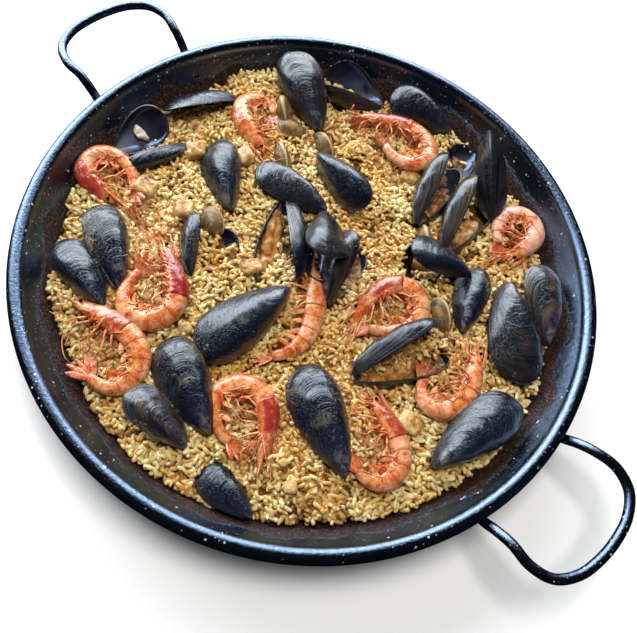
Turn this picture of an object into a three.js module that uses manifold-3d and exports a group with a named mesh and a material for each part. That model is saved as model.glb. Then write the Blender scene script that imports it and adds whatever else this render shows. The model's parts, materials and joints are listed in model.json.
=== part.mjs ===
// A seafood paella in its own two-handled pan of dark enamelled sheet steel.
// Millimetres, +Z up. The origin is the middle of the pan's flat underside, and the
// handles lie on the X axis. The rice fills the pan to about half its depth, and the
// mussels, prawns, clams and squid lie in it: each is pressed into the rice and is cut
// back, by a small gap, where a neighbour lies on top of it.

import * as THREE from 'three';
import { mergeVertices } from 'three/addons/utils/BufferGeometryUtils.js';
import Module from 'manifold-3d';

const wasm = await Module();
wasm.setup();

// ---------------------------------------------------------------- driving dimensions
const GAP = 0.35;                 // clearance between touching pieces

const PAN = {
  baseRadius: 166,                // flat underside
  cornerRadius: 170.2,            // where the wall starts
  cornerHeight: 2.6,
  wallTopRadius: 190.55,          // where the wall meets the rolled lip
  wallTopHeight: 40.2,
  lipRadius: 4.35,                // of the middle of the sheet, round the roll
  lipEndAngle: -20,               // how far the roll turns down, in degrees
  sheet: 1.5,
  facets: 48,
};

const HANDLE = {
  rodRadius: 3.25,
  sides: 6,
  steps: 22,
  // the rod's middle line from the weld on the wall to the middle of the grip: x, y, z
  route: [[182, 37, 26], [197, 39.5, 33], [205, 40.5, 41], [215, 41.5, 47.5],
    [229, 43, 49.5], [243, 38, 49.5], [252, 25, 49.2], [255.5, 9, 49]],
};

const RICE = {
  floorClearance: 0.4,
  edgeRadius: 175.2,              // mean outline of the heap, ragged by about 3 mm
  edgeDrop: 3.5,                  // the heap is lower where it meets the wall
  level: 21.5,
  swell: 1.6,                     // slow rise and fall of the surface
  grain: 1.5,                     // height of the bumps of single grains
  rings: 15,
};

// One row for each mussel, the topmost first. "pair" is a shut mussel, "open" has both
// valves ajar on their hinge with the meat inside, and "half" is one valve alone.
// hand is the side of the hinge seen from the pointed end: 1 left, -1 right.
// Place of the pointed end, turns in degrees (yaw, pitch up, roll), length, width, gape.
const MUSSELS = [
  ['mussel_01', 'pair', 1, [-27, 35, 29], [-167, 0, 8], 62, 29, 0],
  ['mussel_02', 'open', 1, [-25, 30, 28], [-44, 20, 6], 57, 33, 38],
  ['mussel_03', 'open', -1, [77, 81, 30], [-146, 6, -6], 50, 31, 40],
  ['mussel_04', 'open', 1, [80, -37, 28], [74, 2, -52], 72, 32, 46],
  ['mussel_05', 'pair', -1, [-84, 81, 27], [162, 13, -14], 71, 35, 0],
  ['mussel_06', 'open', 1, [-76, 142, 26], [-157, 6, -84], 57, 32, 62],
  ['mussel_07', 'pair', 1, [-23, 171, 27], [-163, 6, -22], 57, 32, 0],
  ['mussel_08', 'half', 1, [-146, 50, 26], [-113, 2, 52], 60, 26, 0],
  ['mussel_09', 'half', 1, [-160, -56, 25], [98, 8, -152], 50, 30, 0],
  ['mussel_10', 'half', 1, [-137, -6, 23], [-99, 0, -64], 54, 20, 0],
  ['mussel_11', 'pair', 1, [-70, -19, 27], [150, 2, -20], 61, 31, 0],
  ['mussel_12', 'open', -1, [-70, 65, 28], [-1, 2, 24], 62, 28, 36],
  ['mussel_13', 'open', 1, [23, 83, 28], [112, 2, -50], 67, 27, 34],
  ['mussel_14', 'open', 1, [52, 84, 28], [109, 3, -50], 67, 31, 46],
  ['mussel_15', 'pair', 1, [56, 132, 28], [141, 16, 72], 71, 30, 0],
  ['mussel_16', 'half', 1, [14, 148, 22], [140, 0, 176], 34, 24, 0],
  ['mussel_17', 'pair', 1, [104, 46, 27], [120, 2, -14], 53, 27, 0],
  ['mussel_18', 'pair', -1, [97, 99, 28], [-38, 0, -4], 77, 39, 0],
  ['mussel_19', 'pair', 1, [149, 85, 28], [134, 5, 14], 62, 30, 0],
  ['mussel_20', 'pair', 1, [154, -39, 28], [83, 2, 4], 76, 35, 0],
  ['mussel_21', 'pair', 1, [123, -84, 28], [158, 0, 0], 76, 36, 0],
  ['mussel_22', 'pair', -1, [4, -27, 29], [-89, 0, -6], 78, 38, 0],
  ['mussel_23', 'open', 1, [-53, 16, 28], [-43, 0, -56], 70, 31, 48],
  ['mussel_24', 'open', 1, [29, -14, 27], [117, 5, -24], 56, 30, 40],
  ['mussel_25', 'half', 1, [-45, -73, 26], [142, 0, -58], 51, 25, 0],
  ['mussel_26', 'pair', 1, [-67, -117, 27], [153, 2, 26], 65, 31, 0],
  ['mussel_27', 'pair', -1, [-62, -131, 28], [177, 2, -6], 56, 28, 0],
  ['mussel_28', 'pair', 1, [50, -131, 28], [164, 0, -6], 70, 35, 0],
  ['mussel_29', 'open', -1, [46, -147, 26], [-172, 2, -4], 50, 27, 34],
  ['mussel_30', 'pair', 1, [104, -143, 24], [-178, -6, 8], 44, 25, 0],
  ['mussel_31', 'half', 1, [-34, -47, 22], [160, 0, 168], 34, 22, 0],
];

// One row for each prawn. The place is that of the joint between head and tail part,
// yaw points from there along the tail part, lean tips the whole prawn about its length,
// then length along the back, greatest half height, curl in degrees (its sign is the
// side it curls to) and where along the body the curl is tightest.
const PRAWNS = [
  ['prawn_01', [-126, 40, 27], [161, 0, 8], 92, 9, -228, 0.78],
  ['prawn_02', [-159, -79, 28], [139, 0, 6], 108, 8.8, -231, 0.44],
  ['prawn_03', [-39, -91, 28], [-45, 0, 0], 132, 9, -250, 0.62],
  ['prawn_04', [-44, 140, 28], [23, 0, -6], 138, 9, -253, 0.69],
  ['prawn_05', [83, 150, 27], [127, 0, 0], 105, 9, 242, 0.5],
  ['prawn_06', [51, 34, 28], [45, 0, 4], 124, 9.2, -241, 0.48],
  ['prawn_07', [24, -23, 27], [-46, -4, 0], 90, 9, -88, 0.8],
  ['prawn_08', [-39, -132, 28], [9, 0, 4], 116, 9.4, -213, 0.77],
  ['prawn_09', [55, -93, 28], [160, 0, 0], 125, 8.8, 242, 0.58],
  ['prawn_10', [134, 17, 27], [-69, 0, 0], 92, 9.2, -200, 0.8],
  ['prawn_11', [125, -44, 27], [-21, 0, 0], 90, 9.2, -190, 0.8],
];

// Clam valves, as the mussels: hand, place, turns, length, width.
const CLAMS = [
  ['clam_1', 1, [-91, 73, 24], [-154, 0, 0], 25, 19],
  ['clam_2', 1, [-106, 66, 24], [152, 20, 76], 24, 17],
  ['clam_3', 1, [-62, 74, 23], [170, 0, 110], 25, 19],
  ['clam_4', 1, [-74, 38, 23], [156, 0, 100], 26, 18],
  ['clam_5', 1, [-60, -36, 24], [170, 0, -30], 24, 22],
  ['clam_6', 1, [46, 72, 23], [143, 0, 84], 27, 18],
  ['clam_7', 1, [96, 40, 23], [155, 0, 108], 26, 20],
];

// Lumps of squid and fish: place, half sizes, yaw.
const LUMPS = [
  ['squid_1', [-122, -54, 25], [9.5, 8, 7], 20],
  ['squid_2', [-127, -6, 25], [8.5, 7.5, 6.5], 60],
  ['squid_3', [-101, 20, 25], [9.5, 7, 6.5], -15],
  ['squid_4', [-91, -45, 25], [8.5, 8, 7], 40],
  ['squid_5', [-26, -36, 24], [9, 6.5, 6], 75],
  ['squid_6', [125, -29, 25], [10, 8.5, 7], 10],
  ['squid_7', [-13, 110, 24], [8, 6.5, 6], 30],
];

// ---------------------------------------------------------------- solids
const rad = THREE.MathUtils.degToRad;

function vector([x, y, z]) {
  return new THREE.Vector3(x, y, z);
}

// Shares the vertices of a geometry and drops the faces that shrink to a line.
function weld(geometry) {
  const bare = new THREE.BufferGeometry();
  bare.setAttribute('position', geometry.getAttribute('position'));
  bare.setIndex(geometry.getIndex());
  const shared = mergeVertices(bare, 1e-3);
  const index = shared.getIndex().array;
  const kept = [];
  for (let i = 0; i < index.length; i += 3) {
    const [a, b, c] = index.slice(i, i + 3);
    if (a !== b && b !== c && c !== a) kept.push(a, b, c);
  }
  shared.setIndex(kept);
  return shared;
}

function signedVolume(geometry) {
  const position = geometry.getAttribute('position');
  const index = geometry.getIndex().array;
  const corner = (i) => new THREE.Vector3().fromBufferAttribute(position, index[i]);
  let sum = 0;
  for (let i = 0; i < index.length; i += 3) {
    sum += corner(i).dot(corner(i + 1).cross(corner(i + 2)));
  }
  return sum / 6;
}

// A closed geometry as a solid whose faces point outwards.
function toSolid(geometry) {
  const vertProperties = Float32Array.from(geometry.getAttribute('position').array);
  const triVerts = Uint32Array.from(geometry.getIndex().array);
  if (signedVolume(geometry) < 0) triVerts.reverse();
  return new wasm.Manifold(new wasm.Mesh({ numProp: 3, vertProperties, triVerts }));
}

function toGeometry(solid) {
  const mesh = solid.getMesh();
  const geometry = new THREE.BufferGeometry();
  geometry.setAttribute('position', new THREE.BufferAttribute(mesh.vertProperties, 3));
  geometry.setIndex(new THREE.BufferAttribute(mesh.triVerts, 1));
  return geometry;
}

// Closed skin through rings of equally many points, closed by a point at either end.
function loft(first, rings, last) {
  const points = [first, ...rings.flat(), last];
  const n = rings[0].length;
  const index = [];
  for (let j = 0; j < n; j++) {
    const k = (j + 1) % n;
    index.push(0, 1 + k, 1 + j);
    for (let i = 0; i + 1 < rings.length; i++) {
      const a = 1 + i * n;
      index.push(a + j, a + k, a + n + k, a + j, a + n + k, a + n + j);
    }
    const end = 1 + (rings.length - 1) * n;
    index.push(end + j, end + k, points.length - 1);
  }
  const geometry = new THREE.BufferGeometry().setFromPoints(points);
  geometry.setIndex(index);
  return geometry;
}

// The same skin with every face moved outwards by a distance, for cutting clearances.
function grown(geometry, distance) {
  const larger = geometry.clone();
  const position = larger.getAttribute('position');
  const index = geometry.getIndex().array;
  const corner = (i) => new THREE.Vector3().fromBufferAttribute(position, index[i]);
  const normals = Array.from({ length: position.count }, () => []);
  for (let i = 0; i < index.length; i += 3) {
    const a = corner(i);
    const normal = corner(i + 1).sub(a).cross(corner(i + 2).sub(a)).normalize();
    for (let j = i; j < i + 3; j++) normals[index[j]].push(normal);
  }
  const sharpest = 0.2;
  const outwards = Math.sign(signedVolume(geometry)) * distance;
  normals.forEach((around, i) => {
    const way = around.reduce((sum, n) => sum.add(n), new THREE.Vector3()).normalize();
    // lean towards whichever face the corner clears least
    for (let lean = 0.5; lean > 0.02; lean *= 0.85) {
      const worst = around.reduce((a, b) => (a.dot(way) < b.dot(way) ? a : b));
      way.addScaledVector(worst, lean).normalize();
    }
    const least = Math.max(Math.min(...around.map((n) => n.dot(way))), sharpest);
    const p = new THREE.Vector3().fromBufferAttribute(position, i);
    p.addScaledVector(way, outwards / least);
    position.setXYZ(i, p.x, p.y, p.z);
  });
  return larger;
}

function largestPiece(solid) {
  const pieces = solid.decompose();
  return pieces.reduce((best, piece) => (piece.volume() > best.volume() ? piece : best));
}

// Yaw about Z, then pitch (far end up), then roll about the piece's own length.
function placement(place, [yaw, pitch, roll]) {
  const turn = new THREE.Euler(rad(roll), rad(-pitch), rad(yaw), 'ZYX');
  const quaternion = new THREE.Quaternion().setFromEuler(turn);
  return new THREE.Matrix4().compose(vector(place), quaternion, new THREE.Vector3(1, 1, 1));
}

// ---------------------------------------------------------------- pan and handles
// The middle line of the sheet from the axis to the end of the rolled lip: r, z.
function sheetLine() {
  const line = [[0, PAN.sheet / 2], [PAN.baseRadius, PAN.sheet / 2],
    [PAN.cornerRadius, PAN.cornerHeight]];
  const centre = PAN.wallTopRadius + PAN.lipRadius;
  const steps = 3;
  for (let i = 0; i <= steps; i++) {
    const angle = rad(180 + (PAN.lipEndAngle - 180) * i / steps);
    line.push([centre + PAN.lipRadius * Math.cos(angle),
      PAN.wallTopHeight + PAN.lipRadius * Math.sin(angle)]);
  }
  return line.map(([r, z]) => new THREE.Vector2(r, z));
}

// Points on one face of the sheet: side is 1 for the inside and -1 for the outside.
function sheetFace(line, side) {
  return line.map((point, i) => {
    const before = line[Math.max(i - 1, 0)];
    const after = line[Math.min(i + 1, line.length - 1)];
    const a = point.clone().sub(before).normalize();
    const b = after.clone().sub(point).normalize();
    if (i === 0) a.copy(b);
    if (i === line.length - 1) b.copy(a);
    const along = a.clone().add(b).normalize();
    const miter = side * PAN.sheet / 2 / along.dot(a);
    return new THREE.Vector2(Math.max(point.x - along.y * miter, 0), point.y + along.x * miter);
  });
}

function panGeometry() {
  const line = sheetLine();
  const outline = [...sheetFace(line, -1), ...sheetFace(line, 1).reverse()];
  outline[0].x = 0;
  outline[outline.length - 1].x = 0;
  const geometry = new THREE.LatheGeometry(outline, PAN.facets);
  geometry.rotateX(Math.PI / 2);
  return weld(geometry);
}

function handleGeometry(end) {
  const half = HANDLE.route.map(vector);
  const far = half.map((p) => new THREE.Vector3(p.x, -p.y, p.z)).reverse();
  const curve = new THREE.CatmullRomCurve3([...half, ...far], false, 'centripetal');
  const section = new THREE.Shape();
  for (let i = 0; i < HANDLE.sides; i++) {
    const angle = 2 * Math.PI * (i + 0.5) / HANDLE.sides;
    const x = HANDLE.rodRadius * Math.cos(angle);
    const y = HANDLE.rodRadius * Math.sin(angle);
    if (i === 0) section.moveTo(x, y);
    else section.lineTo(x, y);
  }
  const geometry = new THREE.ExtrudeGeometry(section,
    { steps: HANDLE.steps, curveSegments: 1, bevelEnabled: false, extrudePath: curve });
  if (end < 0) geometry.rotateZ(Math.PI);
  return weld(geometry);
}

// ---------------------------------------------------------------- shells
// Half width of a valve at a share u of its length, for a pointed mussel or a round clam.
const OUTLINE = {
  mussel: { rise: 0.62, fall: 3.2, peak: 0.663 },
  clam: { rise: 0.5, fall: 2.2, peak: 0.72 },
};

function halfWidth(u, kind) {
  const { rise, fall, peak } = OUTLINE[kind];
  return u ** rise * Math.sqrt(1 - u ** fall) / peak;
}

// Depth of a valve along its keel, deepest nearer the pointed end.
const KEEL = { rise: 0.45, fall: 1.2, blunt: 0.6, peak: 0.546 };

function keelDepth(u) {
  return u ** KEEL.rise * (1 - u ** KEEL.fall) ** KEEL.blunt / KEEL.peak;
}

// The arch of a valve across its width, and the share of the width on the hinge side.
const ARCH = { flat: 2.2, blunt: 0.75, hingeSide: 0.56 };

// A point on a valve's outside: u along the length, v from -1 at the straight margin to
// 1 at the hinge margin.
function valvePoint(size, u, v) {
  const share = v > 0 ? ARCH.hingeSide : 1 - ARCH.hingeSide;
  const y = size.width * share * v * halfWidth(u, size.kind);
  const arch = (1 - Math.abs(v) ** ARCH.flat) ** ARCH.blunt;
  return new THREE.Vector3(size.length * u, size.hand * y, size.depth * keelDepth(u) * arch);
}

const STATIONS = [0.09, 0.33, 0.64, 0.9];
const SPREAD = [-1, -0.66, 0, 0.66, 1];
const UNDER_SPREAD = [0.4, -0.4];

function valveRing(size, u) {
  return SPREAD.map((v) => valvePoint(size, u, v));
}

// A shut pair: both valves meet at the margin. The lower one, sunk in the rice, is plainer.
function pairGeometry(size) {
  const rings = STATIONS.map((u) => {
    const under = UNDER_SPREAD.map((v) => valvePoint(size, u, v));
    under.forEach((p) => { p.z = -p.z; });
    return [...valveRing(size, u), ...under];
  });
  return loft(new THREE.Vector3(), rings, new THREE.Vector3(size.length, 0, 0));
}

// A valve without a hollow, solid up to its margin.
function blockGeometry(size) {
  const rings = STATIONS.map((u) => valveRing(size, u));
  return loft(new THREE.Vector3(), rings, new THREE.Vector3(size.length, 0, 0));
}

// The least the hollow keeps of a narrow ring's width and depth, and how full it is at
// both ends of the valve.
const HOLLOW = { leastWidth: 0.35, leastDepth: 0.3, endsFull: 0.4 };

// One valve with its hollow. full is the share of the hollow that meat fills.
function valveGeometry(size, wall, full) {
  const rings = STATIONS.map((u, i) => {
    const top = valveRing(size, u);
    const half = size.width * halfWidth(u, size.kind) / 2;
    const inset = Math.max(1 - wall / half, HOLLOW.leastWidth);
    const thin = Math.max(1 - wall / (size.depth * keelDepth(u)), HOLLOW.leastDepth);
    const meat = i > 0 && i < STATIONS.length - 1 ? full : Math.max(full, HOLLOW.endsFull);
    const hollow = [...top].reverse().map((p) => (
      new THREE.Vector3(p.x, p.y * inset, p.z * thin * (1 - meat))));
    return [...top, ...hollow];
  });
  return loft(new THREE.Vector3(), rings, new THREE.Vector3(size.length, 0, 0));
}

const SHELL_WALL = 1.8;
const MEAT = 0.6;
const HINGE_SPAN = STATIONS.slice(0, 2);
const GRISTLE = 1.7;              // half thickness of the hinge's gristle
const GRISTLE_SUNK = 0.3;         // share of it that lies between the margins
const MUSSEL_DEPTH = 0.185;       // of a valve, as a share of its length
const CLAM_DEPTH = 0.34;          // of a valve, as a share of its width

// The hinge runs along the hinge margin between these two points.
function hingeEnds(size) {
  return HINGE_SPAN.map((u) => valvePoint(size, u, 1));
}

// Swings a valve about the hinge, and sets it off by a part of the gristle.
function swing(geometry, size, angle, setOff) {
  const [near, far] = hingeEnds(size);
  const along = far.clone().sub(near).normalize();
  const turn = new THREE.Matrix4().makeRotationAxis(along, rad(-angle * size.hand));
  return geometry.clone().translate(-near.x, -near.y, 0).applyMatrix4(turn)
    .translate(near.x, near.y, setOff);
}

// The rod of gristle along the hinge that holds both valves.
function ligamentGeometry(size) {
  const [near, far] = hingeEnds(size);
  const along = far.clone().sub(near).normalize();
  const inwards = new THREE.Vector3(along.y, -along.x, 0).multiplyScalar(size.hand);
  const rings = [near, far].map((p) => [0, 1, 2].map((k) => (
    p.clone().addScaledVector(inwards, GRISTLE * (GRISTLE_SUNK - Math.cos(k * 2 * Math.PI / 3)))
      .add(new THREE.Vector3(0, 0, GRISTLE * Math.sin(k * 2 * Math.PI / 3))))));
  return loft(near.clone().addScaledVector(along, -GRISTLE), rings,
    far.clone().addScaledVector(along, GRISTLE));
}

// The closed skins that a mussel is joined from, in its own frame, and the plainer ones,
// with no hollow, that its neighbours are cut by.
function musselParts([, form, hand, , , length, width, gape]) {
  const size = { kind: 'mussel', hand, length, width, depth: length * MUSSEL_DEPTH };
  if (form === 'pair') return [[pairGeometry(size)], [pairGeometry(size)]];
  const block = blockGeometry(size);
  const filled = valveGeometry(size, SHELL_WALL, MEAT);
  if (form === 'half') return [[filled], [block]];
  const empty = valveGeometry(size, SHELL_WALL, 0);
  const setOff = GRISTLE_SUNK * GRISTLE;
  const upper = (geometry) => swing(geometry, size, gape / 2, setOff);
  const lower = (geometry) => (
    swing(geometry.clone().scale(1, 1, -1), size, -gape / 2, -setOff));
  const gristle = ligamentGeometry(size);
  return [[upper(empty), lower(filled), gristle], [upper(block), lower(block), gristle]];
}

function clamParts([, hand, , , length, width]) {
  const size = { kind: 'clam', hand, length, width, depth: width * CLAM_DEPTH };
  return [[pairGeometry(size)], [pairGeometry(size)]];
}

// ---------------------------------------------------------------- prawns
// Half height of the body at a share of its length, as a share of the greatest.
const BODY = [[0.05, 0.2], [0.13, 0.55], [0.24, 0.88], [0.35, 1], [0.45, 0.96], [0.55, 0.91],
  [0.65, 0.82], [0.75, 0.7], [0.85, 0.5], [0.94, 0.4]];
const BODY_SIDES = 6;
const BODY_WIDTH = 0.84;          // of the body, as a share of its height
const TAIL = { start: 0.9, flat: 0.45 };
const HEAD_JOINT = 0.38;
const CURL = { steps: 60, start: 0.25, end: 0.95, everywhere: 0.08 };

// The middle line of the body: points and headings, with the head joint at the origin
// and the tail part leaving it along +X. The curl is spread by a smooth bump.
function spine(length, curl, tightest) {
  const { steps, start, end, everywhere } = CURL;
  const peak = (tightest - start) / (end - start);
  const bend = [];
  for (let i = 0; i <= steps; i++) {
    const t = Math.min(Math.max((i / steps - start) / (end - start), 0), 1);
    bend.push(t ** (2 * peak) * (1 - t) ** (2 * (1 - peak)));
  }
  const most = Math.max(...bend);
  let total = 0;
  const turned = bend.map((b) => { total += b + everywhere * most; return total; });
  const joint = Math.round(HEAD_JOINT * steps);
  const heading = turned.map((b) => rad(curl) * (b - turned[joint]) / total);
  const points = [new THREE.Vector3()];
  for (let i = 1; i <= steps; i++) {
    const middle = (heading[i] + heading[i - 1]) / 2;
    const step = new THREE.Vector3(Math.cos(middle), Math.sin(middle), 0);
    points.push(points[i - 1].clone().addScaledVector(step, length / steps));
  }
  const origin = points[joint].clone();
  points.forEach((p) => p.sub(origin));
  return (share) => {
    const i = Math.min(Math.round(share * steps), steps);
    return { point: points[i], heading: heading[i] };
  };
}

function prawnParts([, , , length, height, curl, tightest]) {
  const line = spine(length, curl, tightest);
  const back = -Math.sign(curl);
  const rings = BODY.map(([share, full]) => {
    const { point, heading } = line(share);
    const outwards = new THREE.Vector3(-Math.sin(heading) * back, Math.cos(heading) * back, 0);
    const flat = share > TAIL.start ? TAIL.flat : BODY_WIDTH;
    return Array.from({ length: BODY_SIDES }, (_, k) => {
      const angle = k * 2 * Math.PI / BODY_SIDES;
      const side = Math.cos(angle) > 0 ? 1 : BODY_WIDTH;
      const p = point.clone().addScaledVector(outwards, height * full * side * Math.cos(angle));
      p.z += height * full * flat * Math.sin(angle);
      return p;
    });
  });
  const body = loft(line(0).point.clone(), rings, line(1).point.clone());
  return [[body], [body]];
}

// ---------------------------------------------------------------- lumps
const LUMP_SQUARENESS = 0.72;     // 1 for a ball, less for a rounded cube

function lumpParts([, , half]) {
  const geometry = weld(new THREE.SphereGeometry(1, 6, 5));
  const position = geometry.getAttribute('position');
  for (let i = 0; i < position.count; i++) {
    const p = new THREE.Vector3().fromBufferAttribute(position, i);
    const square = (a) => Math.sign(a) * Math.abs(a) ** LUMP_SQUARENESS;
    position.setXYZ(i, half[0] * square(p.x), half[1] * square(p.y), half[2] * square(p.z));
  }
  return [[geometry], [geometry]];
}

// ---------------------------------------------------------------- rice
// Height of the surface, without the bumps of the grains.
function riceLevel(x, y) {
  const r = Math.hypot(x, y) / RICE.edgeRadius;
  const broad = Math.sin(x / 23 + 0.7) * Math.cos(y / 29 - 0.4);
  const roll = (broad + 0.6 * Math.sin(x / 13 - y / 17)) / 1.6;
  return RICE.level - RICE.edgeDrop * r ** 8 + RICE.swell * roll;
}

// A seeded sequence of numbers from 0 to 1.
function sequence(seed) {
  let state = seed;
  return () => {
    state = (state * 1664525 + 1013904223) % 4294967296;
    return state / 4294967296;
  };
}

// How far the grid of the surface is disturbed: inside, and less on its outermost ring.
const UNEVEN = { turn: 0.55, radius: 3, height: 1 };
const UNEVEN_EDGE = { turn: 0.3, radius: 0.8, height: 0.5 };

// How far the heap's edge wanders from its circle.
function raggedness(angle) {
  return 1.6 * Math.sin(5 * angle + 1) + 1.2 * Math.sin(11 * angle);
}

function riceGeometry() {
  const draw = sequence(7);
  const points = [];
  const ringStart = [];
  for (let k = 0; k <= RICE.rings; k++) {
    ringStart.push(points.length);
    const count = Math.max(6 * k, 1);
    const uneven = k === RICE.rings ? UNEVEN_EDGE : UNEVEN;
    for (let i = 0; i < count; i++) {
      const angle = 2 * Math.PI * (i + uneven.turn * (draw() - 0.5)) / count;
      const edge = RICE.edgeRadius + raggedness(angle) * (k / RICE.rings) ** 6;
      const r = edge * k / RICE.rings + uneven.radius * (draw() - 0.5) * Math.min(k, 1);
      const x = r * Math.cos(angle);
      const y = r * Math.sin(angle);
      const bump = RICE.grain * (2 * draw() - 1) * uneven.height;
      points.push(new THREE.Vector3(x, y, riceLevel(x, y) + bump));
    }
  }
  const index = [];
  for (let k = 0; k < RICE.rings; k++) {
    const inner = Math.max(6 * k, 1);
    const outer = 6 * (k + 1);
    for (let side = 0; side < 6; side++) {
      for (let i = 0; i <= k; i++) {
        const a = ringStart[k] + (side * k + i) % inner;
        const b = ringStart[k + 1] + side * (k + 1) + i;
        const c = ringStart[k + 1] + (side * (k + 1) + i + 1) % outer;
        index.push(a, b, c);
        if (i < k) index.push(a, c, ringStart[k] + (side * k + i + 1) % inner);
      }
    }
  }
  // the sides and the flat bottom, clear of the pan
  const rim = ringStart[RICE.rings];
  const count = 6 * RICE.rings;
  const floor = PAN.sheet + RICE.floorClearance;
  const bottom = points.length;
  const bottomRadius = PAN.baseRadius - PAN.sheet;
  for (let i = 0; i < count; i++) {
    const angle = Math.atan2(points[rim + i].y, points[rim + i].x);
    points.push(new THREE.Vector3(bottomRadius * Math.cos(angle),
      bottomRadius * Math.sin(angle), floor));
  }
  points.push(new THREE.Vector3(0, 0, floor));
  for (let i = 0; i < count; i++) {
    const j = (i + 1) % count;
    index.push(rim + i, bottom + i, bottom + j, rim + i, bottom + j, rim + j);
    index.push(bottom + i, points.length - 1, bottom + j);
  }
  const geometry = new THREE.BufferGeometry().setFromPoints(points);
  geometry.setIndex(index);
  return geometry;
}

// ---------------------------------------------------------------- materials
const finish = (color, roughness, metalness = 0) => (
  new THREE.MeshStandardMaterial({ color, roughness, metalness }));
const ENAMEL = finish(0x14161b, 0.28, 0.1);
const RICE_GOLD = finish(0xc08a35, 0.55);
const SHELL_BLACK = finish(0x1c222d, 0.35);
const PRAWN_RED = finish(0xd65a34, 0.4);
const CLAM_TAN = finish(0x9a7748, 0.5);
const SQUID_CREAM = finish(0xd7a85c, 0.5);

// ---------------------------------------------------------------- assembly
const paella = new THREE.Group();

function addMesh(name, geometry, material, matrix = new THREE.Matrix4()) {
  const own = geometry.clone().applyMatrix4(matrix.clone().invert());
  const mesh = new THREE.Mesh(own, material);
  mesh.name = name;
  matrix.decompose(mesh.position, mesh.quaternion, mesh.scale);
  paella.add(mesh);
}

function join(parts) {
  return parts.map(toSolid).reduce((sum, part) => sum.add(part));
}

function boxesMeet(a, b) {
  const p = a.boundingBox();
  const q = b.boundingBox();
  return [0, 1, 2].every((i) => p.min[i] <= q.max[i] && q.min[i] <= p.max[i]);
}

const panSolid = toSolid(panGeometry());
const panCutter = toSolid(grown(toGeometry(panSolid), GAP));
addMesh('pan', toGeometry(panSolid), ENAMEL);

for (const [name, end] of [['handle_right', 1], ['handle_left', -1]]) {
  const rod = toSolid(handleGeometry(end));
  addMesh(name, toGeometry(largestPiece(rod.subtract(panCutter))), ENAMEL);
}

// Lays a piece under all that were laid before it, and keeps its cutter for the rest.
const cutters = [];

function lay(name, [parts, plainer], matrix, material) {
  let solid = join(parts.map((part) => part.clone().applyMatrix4(matrix)));
  for (const cutter of [panCutter, ...cutters]) {
    if (boxesMeet(solid, cutter)) solid = solid.subtract(cutter);
  }
  cutters.push(join(plainer.map((part) => grown(part, GAP).applyMatrix4(matrix))));
  addMesh(name, toGeometry(largestPiece(solid)), material, matrix);
}

for (const row of MUSSELS) {
  lay(row[0], musselParts(row), placement(row[3], row[4]), SHELL_BLACK);
}
for (const row of PRAWNS) {
  lay(row[0], prawnParts(row), placement(row[1], row[2]), PRAWN_RED);
}
for (const row of CLAMS) {
  lay(row[0], clamParts(row), placement(row[2], row[3]), CLAM_TAN);
}
for (const row of LUMPS) {
  lay(row[0], lumpParts(row), placement(row[1], [row[3], 0, 0]), SQUID_CREAM);
}

let rice = toSolid(riceGeometry());
for (const cutter of cutters) {
  if (boxesMeet(rice, cutter)) rice = rice.subtract(cutter);
}
addMesh('rice', toGeometry(largestPiece(rice.subtract(panCutter))), RICE_GOLD);

export default paella;
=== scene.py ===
import json
import math

import bpy
import numpy as np
from mathutils import Matrix, Vector
from mathutils.bvhtree import BVHTree
from mathutils.kdtree import KDTree

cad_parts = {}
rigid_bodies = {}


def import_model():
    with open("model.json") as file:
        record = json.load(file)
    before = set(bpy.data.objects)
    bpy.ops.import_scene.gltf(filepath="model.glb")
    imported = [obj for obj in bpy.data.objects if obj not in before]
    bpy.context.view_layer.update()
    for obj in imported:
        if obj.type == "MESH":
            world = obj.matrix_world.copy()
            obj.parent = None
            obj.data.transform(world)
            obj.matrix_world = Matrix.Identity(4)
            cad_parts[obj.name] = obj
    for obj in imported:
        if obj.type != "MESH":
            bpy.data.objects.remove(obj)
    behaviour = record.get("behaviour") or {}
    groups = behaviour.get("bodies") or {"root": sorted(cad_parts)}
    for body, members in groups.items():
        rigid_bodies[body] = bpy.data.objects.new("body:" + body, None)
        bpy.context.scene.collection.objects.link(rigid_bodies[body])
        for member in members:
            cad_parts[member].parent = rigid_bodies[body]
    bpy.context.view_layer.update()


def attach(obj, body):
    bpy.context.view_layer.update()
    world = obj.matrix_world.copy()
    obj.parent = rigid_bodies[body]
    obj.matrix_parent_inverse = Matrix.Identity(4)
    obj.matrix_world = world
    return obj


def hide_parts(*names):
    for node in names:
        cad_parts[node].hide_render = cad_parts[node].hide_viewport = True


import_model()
MM = 0.001

# ---------------------------------------------------------------- sizes of pan and bed
PAN = {
    "base_radius": 166.0,
    "corner_radius": 170.2,
    "corner_height": 2.6,
    "wall_top_radius": 190.55,
    "wall_top_height": 40.2,
    "lip_radius": 4.35,
    "lip_end_angle": -20.0,
    "sheet": 1.5,
}
WALL_SLOPE = (PAN["wall_top_radius"] - PAN["corner_radius"]) / (
    PAN["wall_top_height"] - PAN["corner_height"])
# Residue burnt on inside the wall: how high it reaches, how far and over what width that
# wanders, height over which it fades.
BURNT = {"edge": 30.5, "wander": 2.6, "across": 46.0, "fade": 13.0}
HANDLE = {
    "rod_radius": 3.25,
    "route": [(182, 37, 26), (197, 39.5, 33), (205, 40.5, 41), (215, 41.5, 47.5),
              (229, 43, 49.5), (243, 38, 49.5), (252, 25, 49.2), (255.5, 9, 49)],
}
RICE = {
    "edge_radius": 175.2,
    "edge_drop": 3.5,
    "level": 21.5,
    "swell": 1.6,
    "floor": 1.9,
    "foot_radius": 164.0,
    "bed_depth": 1.6,             # how far the bed under the loose grains lies below them
    "paste_rise": 2.4,            # how far it stands higher where the rice has gone to paste
}
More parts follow.
